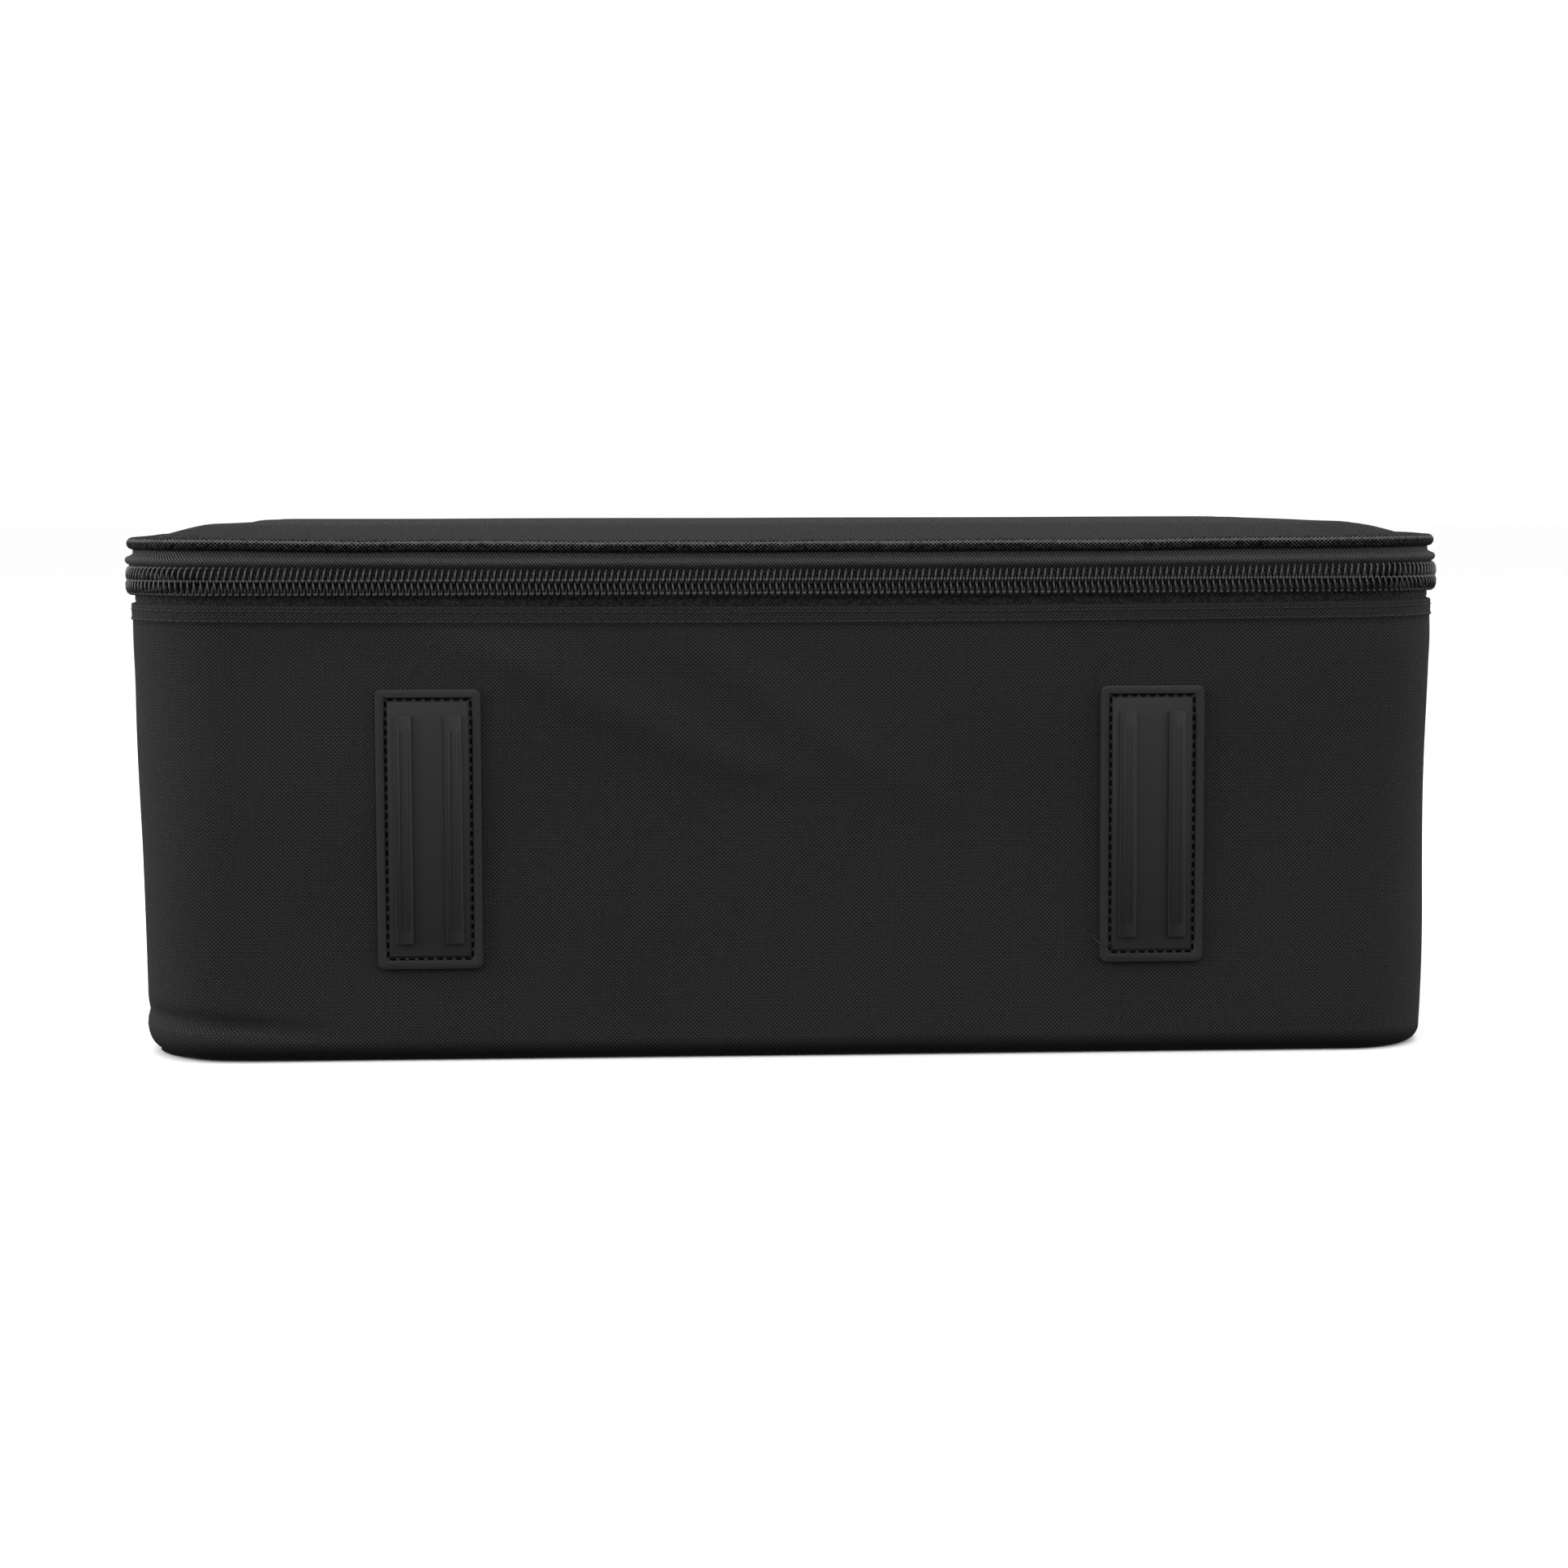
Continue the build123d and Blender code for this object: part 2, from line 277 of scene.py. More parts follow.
class Finish:
    # One material and the nodes that make it.

    def __init__(self, name, shine):
        self.material = bpy.data.materials.new(name)
        self.material.use_nodes = True
        self.tree = self.material.node_tree
        self.tree.nodes.clear()
        self.output = self.tree.nodes.new("ShaderNodeOutputMaterial")
        self.shader = self.tree.nodes.new("ShaderNodeBsdfPrincipled")
        self.tree.links.new(self.shader.outputs[0], self.output.inputs["Surface"])
        for socket, value in shine.items():
            self.shader.inputs[socket].default_value = value

    def make(self, kind, settings=None, inputs=None, output=0):
        node = self.tree.nodes.new(kind)
        for key, value in (settings or {}).items():
            if key == "stops":
                for k, (place, colour) in enumerate(value):
                    element = node.color_ramp.elements[k] if k < 2 else node.color_ramp.elements.new(place)
                    element.position, element.color = place, (*colour, 1)
            else:
                setattr(node, key, value)
        for key, value in (inputs or {}).items():
            if isinstance(value, Signal):
                self.tree.links.new(value.socket, node.inputs[key])
            else:
                node.inputs[key].default_value = value
        return Signal(self, node.outputs[output])

    def feed(self, socket, signal):
        self.tree.links.new(signal.socket, self.shader.inputs[socket])

    def axes(self, vector):
        return [self.make("ShaderNodeSeparateXYZ", {}, {0: vector}, k) for k in range(3)]

    def objectPlace(self):
        return self.make("ShaderNodeTexCoord", {}, {}, "Object")

    def clothPlace(self):
        return self.make("ShaderNodeUVMap", {"uv_map": "cloth"}, {})

    def noise(self, vector, scale, detail=3.0, roughness=0.55):
        values = {"Vector": vector, "Scale": scale, "Detail": detail, "Roughness": roughness}
        return self.make("ShaderNodeTexNoise", {}, values, "Fac")

    def tint(self, share, dark, bright, low=0.0, high=1.0):
        return self.make("ShaderNodeValToRGB", {"stops": [(low, dark), (high, bright)]}, {0: share})

    def bump(self, height, distance, strength=1.0):
        values = {"Height": height, "Distance": distance, "Strength": strength}
        self.feed("Normal", self.make("ShaderNodeBump", {}, values, "Normal"))


def weave(x, y):
    # Plain weave from two thread counts: 0 in the gaps, 1 on top of a thread.
    warp = (x * math.pi).sin()
    weft = (y * math.pi).sin()
    over = (warp * weft) > 0.0
    warpTop = warp.abs() * (weft.abs() * 0.5 + 0.5)
    weftTop = weft.abs() * (warp.abs() * 0.5 + 0.5)
    return over * warpTop + (1 - over) * weftTop, over


def wovenCloth(name, look, plane=None):
    # The plane names the two object axes the threads follow; without it they follow the piece's UV.
    finish = Finish(name, look["shine"])
    body = finish.objectPlace()
    axes = finish.axes(body if plane else finish.clothPlace())
    x, y = (axes["xyz".index(letter)] for letter in plane or "xy")
    drift = finish.noise(body, 90.0) * 0.12      # threads wander a little
    height, over = weave(x / look["warp"] + drift, y / look["weft"] + drift)
    patches = finish.noise(body, 14.0, 4.0)
    specks = finish.noise(body, 800.0, 1.0)
    speckShare = look.get("specks", 0.2)
    share = height * (0.55 - speckShare) + over * 0.35 + patches * 0.1 + specks * speckShare
    # Painted highlight: a bright band in the base colour at a given run across the cloth.
    if "paintedHighlight" in look:
        middle, width = look["paintedHighlight"]
        share = share + (1 - (y - middle).abs() / width).most(0) * 0.45   # painted highlight
    if "paintedShadeHeight" in look:                     # painted shade: darker towards the floor where the cloth turns under
        share = share * (finish.axes(body)[2] / look["paintedShadeHeight"]).most(0).least(1)
    spread = look.get("spread", (0.1, 0.8))
    finish.feed("Base Color", finish.tint(share, look["dark"], look["bright"], *spread))
    finish.feed("Roughness", 0.95 - height * look["gloss"])
    finish.bump(height + specks * 0.25, look["relief"])
    return finish.material


def twillCloth(name, look):
    # Diagonal ribs, as on zipper tape, webbing and binding.
    finish = Finish(name, look["shine"])
    x, y, z = finish.axes(finish.clothPlace())
    diagonal = (((x + y * look["slant"]) / look["rib"]) * math.pi).sin().abs()
    cross = ((y / look["pick"]) * math.pi).sin().abs()
    specks = finish.noise(finish.objectPlace(), 800.0, 1.0)
    patches = finish.noise(finish.objectPlace(), 25.0)
    height = diagonal * (cross * 0.35 + 0.65)
    speckShare = look.get("specks", 0.5)
    share = height * (0.85 - speckShare) + specks * speckShare + patches * 0.15
    spread = look.get("spread", (0.2, 0.9))
    finish.feed("Base Color", finish.tint(share, look["dark"], look["bright"], *spread))
    finish.feed("Roughness", 0.9 - height * look["gloss"])
    finish.bump(height + specks * 0.3, look["relief"])
    return finish.material


def mouldedFinish(name, look):
    # Rubber, nylon, foam, board or painted metal: fine grain, patches and dust.
    finish = Finish(name, look["shine"])
    place = finish.objectPlace()
    grain = finish.noise(place, look["grain"], 2.0)
    patches = finish.noise(place, look["patch"], 4.0, 0.6)
    share = grain * 0.4 + patches * 0.6
    if "paintedHighlightHeights" in look:                          # painted highlights: heights at which the base colour is brighter
        height = finish.axes(place)[2]
        paintedHighlights = 0
        for level in look["paintedHighlightHeights"]:
            paintedHighlights = (1 - (height - level).abs() / look["paintedHighlightWidth"]).most(0) + paintedHighlights
        share = share * 0.2 + paintedHighlights * 0.8
    finish.feed("Base Color", finish.tint(share, look["dark"], look["bright"]))
    finish.feed("Roughness", look["rough"] + (patches - 0.5) * look["roughSpread"] + (grain - 0.5) * 0.08)
    finish.bump(grain * 0.7 + patches * 0.3, look["relief"])
    return finish.material


def grey(value, warm=0.0):
    return (value * (1 + warm), value, value * (1 - warm))


matteCloth = {"Specular IOR Level": 0.1, "Sheen Weight": 0.02, "Sheen Roughness": 0.5}
# The oxford look darkens its base colour below a height near the floor: painted shade where the cloth turns
# under.
oxford = {"warp": 0.00069, "weft": 0.00065, "dark": grey(0.0006), "bright": grey(0.032),
          "spread": (0.22, 0.72), "gloss": 0.3, "relief": 0.00028, "paintedShadeHeight": 0.007, "shine": matteCloth}
stretched = {**oxford, "dark": grey(0.0005), "bright": grey(0.04), "specks": 0.55, "spread": (0.46, 0.6),
             "shine": {"Specular IOR Level": 0.05}}
rollHighlightRun = rollRadius * 3.58                     # run round the roll's section to its upper front, where the painted highlight lies
# The roll's look stays mostly dark; its bright end shows only in the painted highlight.
rolled = {**stretched, "bright": grey(0.11), "spread": (0.54, 1.0), "paintedHighlight": (rollHighlightRun, 0.0009)}
zipTwill = {"rib": 0.0011, "slant": 0.8, "pick": 0.0006, "dark": grey(0.0008), "bright": grey(0.04),
            "spread": (0.38, 0.8), "gloss": 0.25, "relief": 0.0002, "shine": matteCloth}
# Heights of the coil's painted highlights: the upper row's top, the chain's middle and the lower row's
# bottom.
coilHighlightHeights = [upperCoilBox[1].z - 0.0005, chainMiddle + 0.0001, lowerCoilBox[0].z + 0.0006]
finishes = {
    "oxford_black": wovenCloth("oxfordBlack", oxford),
    "oxfordLid": wovenCloth("oxfordBlackLid", stretched, "xy"),
    "pipingCloth": wovenCloth("pipingCloth", rolled),
    "sleeveCloth": wovenCloth("sleeveCloth", oxford, "xz"),
    "zip_tape": twillCloth("zipTape", zipTwill),
    # Painted light: the band over the chain is the same tape as below it, given a brighter copy of its look
    # where it catches the light.
    "tapeBandLit": twillCloth("zipTapeBandLit", {
        **zipTwill, "bright": grey(0.068), "specks": 0.2, "spread": (0.36, 0.76)}),
    "binding": twillCloth("bindingTape", {
        "rib": 0.0013, "slant": 0.0, "pick": 0.0008, "dark": grey(0.005), "bright": grey(0.024),
        "gloss": 0.2, "relief": 0.0002, "shine": matteCloth}),
    "webbing": twillCloth("webbingWeave", {
        "rib": 0.0021, "slant": 1.0, "pick": 0.0011, "dark": grey(0.005), "bright": grey(0.03),
        "gloss": 0.35, "relief": 0.0004, "shine": matteCloth}),
    "fire_liner": wovenCloth("fireLiner", {
        "warp": 0.0011, "weft": 0.0011, "dark": grey(0.1), "bright": grey(0.34), "gloss": 0.45,
        "relief": 0.0002, "shine": {"Specular IOR Level": 0.7, "Metallic": 0.3}}),
    "divider_fabric": wovenCloth("dividerCloth", {
        "warp": 0.0009, "weft": 0.0009, "dark": grey(0.02), "bright": grey(0.075), "gloss": 0.15,
        "relief": 0.0003, "shine": {"Specular IOR Level": 0.2, "Sheen Weight": 0.25}}, "yz"),
    # The coil's bright colour serves mostly its painted highlights.
    "zip_coil": mouldedFinish("zipCoil", {
        "grain": 2500.0, "patch": 300.0, "dark": grey(0.0005), "bright": grey(0.16), "rough": 0.24,
        "paintedHighlightHeights": coilHighlightHeights, "paintedHighlightWidth": 0.00046, "roughSpread": 0.1,
        "relief": 0.00002, "shine": {"Specular IOR Level": 0.4}}),
    "rubber_pad": mouldedFinish("rubberPad", {
        "grain": 1800.0, "patch": 45.0, "dark": grey(0.006), "bright": grey(0.013), "rough": 0.55,
        "roughSpread": 0.18, "relief": 0.00005, "shine": {"Specular IOR Level": 0.3}}),
    "slider_metal": mouldedFinish("sliderMetal", {
        "grain": 1500.0, "patch": 120.0, "dark": grey(0.008), "bright": grey(0.022), "rough": 0.35,
        "roughSpread": 0.2, "relief": 0.00003, "shine": {"Specular IOR Level": 0.6}}),
    "foam": mouldedFinish("foamCells", {
        "grain": 900.0, "patch": 60.0, "dark": grey(0.03), "bright": grey(0.09), "rough": 0.9,
        "roughSpread": 0.1, "relief": 0.0003, "shine": {"Specular IOR Level": 0.15}}),
    "board": mouldedFinish("fibreBoard", {
        "grain": 700.0, "patch": 30.0, "dark": (0.09, 0.075, 0.06), "bright": (0.2, 0.17, 0.13), "rough": 0.8,
        "roughSpread": 0.15, "relief": 0.0001, "shine": {"Specular IOR Level": 0.2}}),
    "hook_and_loop": mouldedFinish("hookAndLoop", {
        "grain": 2200.0, "patch": 500.0, "dark": grey(0.008), "bright": grey(0.05), "rough": 0.9,
        "roughSpread": 0.15, "relief": 0.0006, "shine": {"Specular IOR Level": 0.2, "Sheen Weight": 0.3}}),
    # The pads' thread: the sewing thread's colour darkened with painted shade of the stitch holes it sits in.
    "padThreadShaded": mouldedFinish("padThreadShaded", {
        "grain": 3000.0, "patch": 400.0, "dark": grey(0.0002), "bright": grey(0.001), "rough": 0.9,
        "roughSpread": 0.1, "relief": 0.00005, "shine": {"Specular IOR Level": 0.05}}),
    "thread": mouldedFinish("sewingThread", {
        "grain": 3000.0, "patch": 400.0, "dark": grey(0.006), "bright": grey(0.022), "rough": 0.6,
        "roughSpread": 0.2, "relief": 0.00005, "shine": {"Specular IOR Level": 0.35}}),
}
print("finishes made")


def dress(piece, finish, body=None, replaces=()):
    # The finish, the slot, the body that carries the piece and the CAD nodes that it replaces.
    piece.data.materials.clear()
    piece.data.materials.append(finishes[finish])
    if body:
        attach(piece, body)
    if replaces:
        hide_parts(*replaces)
    return piece


for member in frame["record"]["subparts"]:   # what stays from CAD gets its slot's finish
    dress(frame["nodes"][member["node"]], member["material_slot"])

# Camera, light and floor
camera = {"distance": 1.095, "turn": 3.3, "roll": 0.14, "height": 0.1835, "pitch": 4.888, "lens": 77.4,
          "across": -0.0025}
turn = math.radians(camera["turn"])
aim = Vector((math.sin(turn), math.cos(turn), 0))
eyePoint = Vector((0, -halfDepth, 0)) - aim * camera["distance"]
eyePoint += Vector((camera["across"], 0, camera["height"]))
deselect()
tilt = (math.radians(90 - camera["pitch"]), math.radians(camera["roll"]), -turn)
bpy.ops.object.camera_add(location=eyePoint, rotation=tilt)
eye = bpy.context.object
eye.data.lens = camera["lens"]
eye.data.sensor_width = 36
eye.data.clip_end = 20
bpy.context.scene.camera = eye

bpy.ops.mesh.primitive_plane_add(size=80, location=(0, 0, -0.0002))
floor = bpy.context.object
floor.name = "floor"
floor.visible_diffuse = floor.visible_glossy = False
pale = {"Base Color": (0.985, 0.985, 0.985, 1), "Roughness": 0.9, "Specular IOR Level": 0.0}
floorFinish = Finish("paleFloor", pale)
floor.data.materials.append(floorFinish.material)

world = bpy.data.worlds.new("studio")
bpy.context.scene.world = world
world.use_nodes = True
sky = world.node_tree.nodes["Background"]
sky.inputs[0].default_value = (1, 1, 1, 1)
around = world.node_tree.nodes.new("ShaderNodeTexCoord")
split = world.node_tree.nodes.new("ShaderNodeSeparateXYZ")
fade = world.node_tree.nodes.new("ShaderNodeMapRange")   # bright above, dim under the floor's level
for key, value in {"From Min": -0.16, "From Max": -0.08, "To Min": 0.12, "To Max": 1.0}.items():
    fade.inputs[key].default_value = value
world.node_tree.links.new(around.outputs["Generated"], split.inputs[0])
world.node_tree.links.new(split.outputs["Z"], fade.inputs["Value"])
world.node_tree.links.new(fade.outputs[0], sky.inputs[1])
lights = [
    {"name": "topBox", "at": (0.0, 0.25, 1.5), "size": (2.2, 1.2), "power": 17},
    {"name": "leftBox", "at": (-1.7, -0.5, 0.7), "size": (1.0, 1.4), "power": 26},
    {"name": "rightBox", "at": (1.7, -0.5, 0.7), "size": (1.0, 1.4), "power": 9},
    {"name": "frontBox", "at": (0.2, -2.2, 1.3), "size": (1.6, 1.0), "power": 14},
]
bagMiddle = Vector((0, 0, 0.09))
for light in lights:
    bpy.ops.object.light_add(type="AREA", location=light["at"])
    lamp = bpy.context.object
    lamp.name = light["name"]
    lamp.data.shape = "RECTANGLE"
    lamp.data.size, lamp.data.size_y = light["size"]
    lamp.data.energy = light["power"]
    away = Vector(light["at"]) - bagMiddle
    lamp.rotation_euler = away.to_track_quat("Z", "Y").to_euler()
scene = bpy.context.scene
scene.view_settings.view_transform = "Standard"
scene.view_settings.look = "None"
print("camera and studio made")

# Sewing
thread = {"pitch": 0.003, "length": 0.0023, "radius": 0.00021, "rings": 4, "sides": 5}


def tubeFaces(count, sides, first=0):
    # The faces between the rings of a tube, and its two ends.
    faces = []
    for ring in range(count):
        a, b = first + ring * sides, first + (ring + 1) * sides
        for k in range(sides):
            faces.append((a + k, a + (k + 1) % sides, b + (k + 1) % sides, b + k))
    last = first + count * sides
    faces.append(tuple(range(first, first + sides))[::-1])
    faces.append(tuple(range(last, last + sides)))
    return faces


def stitchRow(name, path, body, finish="thread", radius=thread["radius"]):
    # Lays one stitch on each (middle, along, outward) of the path.
    points, faces = [], []
    rings, sides = thread["rings"], thread["sides"]
    for middle, along, outward in path:
        side = along.cross(outward)
        first = len(points)
        for ring in range(rings + 1):
            share = ring / rings * 2 - 1
            centre = middle + along * (share * thread["length"] / 2)
            centre = centre + outward * (radius * (0.55 - 1.5 * share ** 4))
            for k in range(sides):
                angle = 2 * math.pi * k / sides
                offset = side * math.cos(angle) + outward * math.sin(angle)
                points.append(centre + offset * radius)
        faces += [face[::-1] for face in tubeFaces(rings, sides, first)]
    piece = newPiece(name, points, faces)
    return dress(piece, finish, body)


def rimStitches(start, end, out, z, shape=None):
    # A straight row of stitches round the bag, on its outside.
    path = []
    count = int((end - start) / thread["pitch"])
    for k in range(count):
        s = start + (k + 0.5) * thread["pitch"]
        before, after = skin(s - 0.001, out, z), skin(s + 0.001, out, z)
        if shape:
            before, after = shape(before, s, out, z), shape(after, s, out, z)
        normal = rim(s)[1]
        path.append(((before + after) / 2, (after - before).normalized(), Vector((normal.x, normal.y, 0))))
    return path


# Outer cloth
cloth = {"thickness": 0.0008, "hemHeight": 0.0056, "hemLift": 0.00045, "puff": 0.0015, "fold": 0.0016}
# Diagonal folds of the front: a point on each, its slope, width, lower end and depth
folds = [
    {"at": (-0.052, 0.112), "slope": 0.5, "width": 0.009, "low": 0.085, "depth": 1.0},
    {"at": (0.012, 0.105), "slope": 0.75, "width": 0.010, "low": 0.07, "depth": 0.8},
]
pouch = {"height": 0.0128, "fall": 0.08, "middle": 0.018, "length": 0.030, "out": 0.0020, "pinch": 0.0034,
         "pinchWidth": 0.0019, "turn": 0.0115, "turnLength": 0.034}
rearSeam = flatX                      # the wall strip ends at the rear corners
wallStart, wallEnd = rearSeam, rimLength - rearSeam
cornerLeft = frontMiddle - flatX - quarter / 2


def turnIn(radius, z):
    # How far a round edge of this radius stands in at a height above the floor.
    return math.sqrt(max(0.0, radius ** 2 - (radius - min(z, radius)) ** 2)) - radius


def foldDepth(point, s, z):
    depth = 0.0
    near = smooth(0.16, 0.1, abs(s - frontMiddle))
    for fold in folds:
        off = (point.x - fold["at"][0]) * fold["slope"] + (z - fold["at"][1])
        depth += fold["depth"] * math.exp(-(off / fold["width"]) ** 2) * smooth(fold["low"], 0.1, z) * near
    return cloth["fold"] * depth


def softWall(place, s, out, z):
    # Low folds of the front, and the corner that pouches out over the floor at the left.
    point, normal = rim(s)
    outward = Vector((normal.x, normal.y, 0))
    height = z / hemTop
    free = smooth(0.0, 0.08, height) * smooth(0.0, 0.12, 1 - height)
    wander = noise.noise(Vector((s * 11.0, z * 16.0, 3.7))) * cloth["puff"]
    move = free * (wander + foldDepth(point, s, z) * (normal.y < -0.9))
    away = s - cornerLeft
    line = pouch["height"] - pouch["fall"] * max(0.0, away)     # the crease falls towards the front
    reach = math.exp(-((away - pouch["middle"]) / pouch["length"]) ** 2)
    swell = smooth(line + 0.001, line - 0.003, z) * pouch["out"] * reach
    pinch = -pouch["pinch"] * reach * math.exp(-((z - line - 0.0016) / pouch["pinchWidth"]) ** 2)
    rounder = turnIn(pouch["turn"], z) - turnIn(bag["underTurn"], z)
    tuck = rounder * math.exp(-(away / pouch["turnLength"]) ** 2)
    return place + outward * (move + swell + pinch + tuck)


def wallProfile():
    # From the floor up: the turn under, the wall, the hem's step and its rolled top.
    turnRadius = bag["underTurn"]
    steps = 6
    profile = [(-turnRadius - 0.004, 0.00005)]
    for k in range(steps + 1):
        angle = math.pi / 2 * k / steps
        profile.append((turnRadius * (math.sin(angle) - 1), turnRadius * (1 - math.cos(angle))))
    hemLow = hemTop - cloth["hemHeight"]
    rows = 60
    for k in range(1, rows):
        profile.append((0.0, turnRadius + (hemLow - turnRadius) * k / rows))
    lift = cloth["hemLift"]
    profile += [(0.0, hemLow - 0.0002), (lift * 0.8, hemLow + 0.0001), (lift, hemLow + 0.0006)]
    profile += [(lift * 0.7, hemLow + 0.0017), (lift, hemLow + 0.0029), (lift * 0.6, hemTop - 0.0018)]
    profile += [(lift * 1.1, hemTop - 0.0009), (lift * 0.6, hemTop - 0.0002), (-0.0004, hemTop)]
    return profile


wallRows = wallProfile()
wallCloth = strip("wallCloth", wallRows, wallStart, wallEnd, shape=softWall)
thicken(wallCloth, cloth["thickness"])
dress(wallCloth, "oxford_black", "base", ["wall_fabric"])
rearCloth = strip("rearCloth", wallRows, -rearSeam, rearSeam, shape=softWall)
thicken(rearCloth, cloth["thickness"])
dress(rearCloth, "oxford_black", "base", ["rear_panel"])
hemOut = cloth["hemLift"]
for name, drop in (("hemStitchesUpper", 0.0019), ("hemStitchesLower", 0.0051)):
    row = rimStitches(wallStart + 0.004, wallEnd - 0.004, hemOut * 0.9, hemTop - drop, softWall)
    stitchRow(name, row, "base")
print("outer cloth made")


def across(points, first, count):
    # Closes an outline with faces that run from its back to its front.
    loop = [first + (count // 4 + 1 + k) % count for k in range(count)]
    left, right = points[loop[0]][0], points[loop[count // 2]][0]
    rungs = [0]
    for k in range(1, count // 2 - 1):
        x = points[loop[k]][0]
        if min(abs(x - left), abs(x - right)) > 0.0005:     # the sides' own points stay in one face
            rungs.append(k)
    rungs.append((count - 1) // 2)
    faces = []
    for a, b in zip(rungs, rungs[1:]):
        faces.append(tuple(dict.fromkeys(loop[a:b + 1] + loop[count - 1 - b:count - a])))
    return faces


def rings(name, levels, step=0.006):
    # A closed pile of outlines: (inset, z) from the bottom's middle out and up to the top's middle.
    points, faces = [], []
    path = stations(0, rimLength, step)[:-1]
    count = len(path)
    deepest = cornerRadius * 0.8              # past this inset the outline shrinks instead of moving in
    for inset, z in levels:
        moved = min(inset, deepest)
        squeezeX = (halfWidth - max(inset, deepest)) / (halfWidth - deepest)
        squeezeY = (halfDepth - max(inset, deepest)) / (halfDepth - deepest)
        for s in path:
            point, normal = rim(s)
            place = point - normal * moved
            points.append((place.x * squeezeX, place.y * squeezeY, z))
    for level in range(len(levels) - 1):
        a, b = level * count, (level + 1) * count
        for k in range(count):
            faces.append((a + k, a + (k + 1) % count, b + (k + 1) % count, b + k))
    last = (len(levels) - 1) * count
    faces += [face[::-1] for face in across(points, 0, count)] + across(points, last, count)
    return newPiece(name, points, faces)


def flatUv(piece):
    # UV as seen from above.
    setUv(piece, lambda place: (place.x, place.y))


bottomInset = bag["underTurn"] + 0.0028
bottomLevels = [(0.06, 0.00002), (bottomInset + 0.001, 0.00002), (bottomInset, 0.0004),
                (bottomInset + 0.0004, 0.0009), (0.06, 0.0009)]
bottomCloth = rings("bottomCloth", bottomLevels)
flatUv(bottomCloth)
dress(bottomCloth, "oxford_black", "base", ["bottom_panel"])

# Zipper
zipper = {"pitch": 0.0021, "wire": 0.00037, "turnPoints": 10, "wireSides": 5, "overlap": 0.0009,
          "tape": 0.0007, "tapeIn": -0.001}
zipArc = math.asin((zipEndY - flatY) / (cornerRadius + coilOut)) * cornerRadius
zipStart = flatX + quarter - zipArc
zipEnd = rimLength - zipStart


def coil(name, rootZ, tipZ, phase, body, node):
    # One side's wound nylon coil, flattened against the tape.
    wire = zipper["wire"]
    middle, reach = (rootZ + tipZ) / 2, abs(tipZ - rootZ) / 2 - wire
    outMiddle = (coilOut + zipper["tapeIn"]) / 2 + wire * 0.4
    outReach = (coilOut - zipper["tapeIn"]) / 2 - wire * 1.1
    count = int((zipEnd - zipStart) / zipper["pitch"]) * zipper["turnPoints"]
    way = 1 if tipZ > rootZ else -1
    line = []
    for k in range(count + 1):
        angle = 2 * math.pi * k / zipper["turnPoints"]
        s = zipStart + zipper["pitch"] * (angle / (2 * math.pi) + phase)
        z = middle + way * reach * math.cos(angle)
        swell = 1 + 0.12 * math.cos(angle)          # the heads are the thicker end
        line.append(skin(s, outMiddle + outReach * swell * math.sin(angle), z))
    points = []
    sides = zipper["wireSides"]
    for k, place in enumerate(line):
        ahead = (line[min(k + 1, count)] - line[max(k - 1, 0)]).normalized()
        s = zipStart + zipper["pitch"] * (k / zipper["turnPoints"] + phase)
        normal = rim(s)[1]
        along = Vector((-normal.y, normal.x, 0))
        first = ahead.cross(along).normalized()
        second = ahead.cross(first)
        for j in range(sides):
            angle = 2 * math.pi * j / sides
            points.append(place + (first * math.cos(angle) + second * math.sin(angle)) * wire)
    piece = newPiece(name, points, tubeFaces(count, sides))
    mendNormals(piece)
    return dress(piece, "zip_coil", body, [node])


coil("lowerCoil", lowerCoilBox[0].z, chainMiddle + zipper["overlap"], 0.0, "base", "zip_coil_lower")
coil("upperCoil", upperCoilBox[1].z, chainMiddle - zipper["overlap"], 0.5, "lid", "zip_coil_upper")

lowerTapeRows = [(-0.0012, hemTop - 0.0025), (-0.0011, hemTop), (-0.0008, hemTop + 0.0012),
                 (-0.0009, hemTop + 0.0035), (-0.0011, chainMiddle - 0.0008)]
lowerTape = strip("lowerTape", lowerTapeRows, zipStart, zipEnd)
thicken(lowerTape, zipper["tape"])
dress(lowerTape, "zip_tape", "base", ["zip_tape_lower"])

bandLow, bandHigh = upperCoilBox[1].z, rollBox[0].z
# The upper tape swells out over the chain and turns in under the roll.
upperTapeRows = [(-0.0011, chainMiddle + 0.0008), (-0.0010, bandLow - 0.0012), (-0.0002, bandLow - 0.0001),
                 (0.0008, bandLow + 0.0005), (0.0013, bandLow + 0.0012), (0.0013, bandLow + 0.0020),
                 (0.0007, bandLow + 0.0027), (-0.0004, bandLow + 0.0031), (-0.0012, bandLow + 0.0036),
                 (-0.0014, bandHigh + 0.0010)]


def bandWander(place, s, out, z):
    # The band over the chain swells and shrinks a little along its length.
    normal = rim(s)[1]
    swell = noise.noise(Vector((s * 32.0, z * 20.0, 1.3))) * 0.00035 * smooth(bandLow, bandLow + 0.0012, z)
    return place + Vector((normal.x, normal.y, 0)) * swell


upperTape = strip("upperTape", upperTapeRows, zipStart, zipEnd, shape=bandWander, follow=0.0)
thicken(upperTape, zipper["tape"])
# The band wears the lit copy of the tape's look.
dress(upperTape, "tapeBandLit", "lid", ["zip_tape_upper"])
print("zipper made")

# Lid
lid = {"rise": 0.0036, "riseReach": 0.0065, "pressure": 4.0, "frames": 20, "cap": 0.0016, "voxel": 0.0052}
rollInset = rollRadius - rollOut


def rollShape(place, s, out, z):
    normal = rim(s)[1]
    wobble = noise.noise(Vector((s * 24.0, 0.0, 8.1))) * 0.0003
    return place + Vector((normal.x * wobble * 0.5, normal.y * wobble * 0.5, wobble))


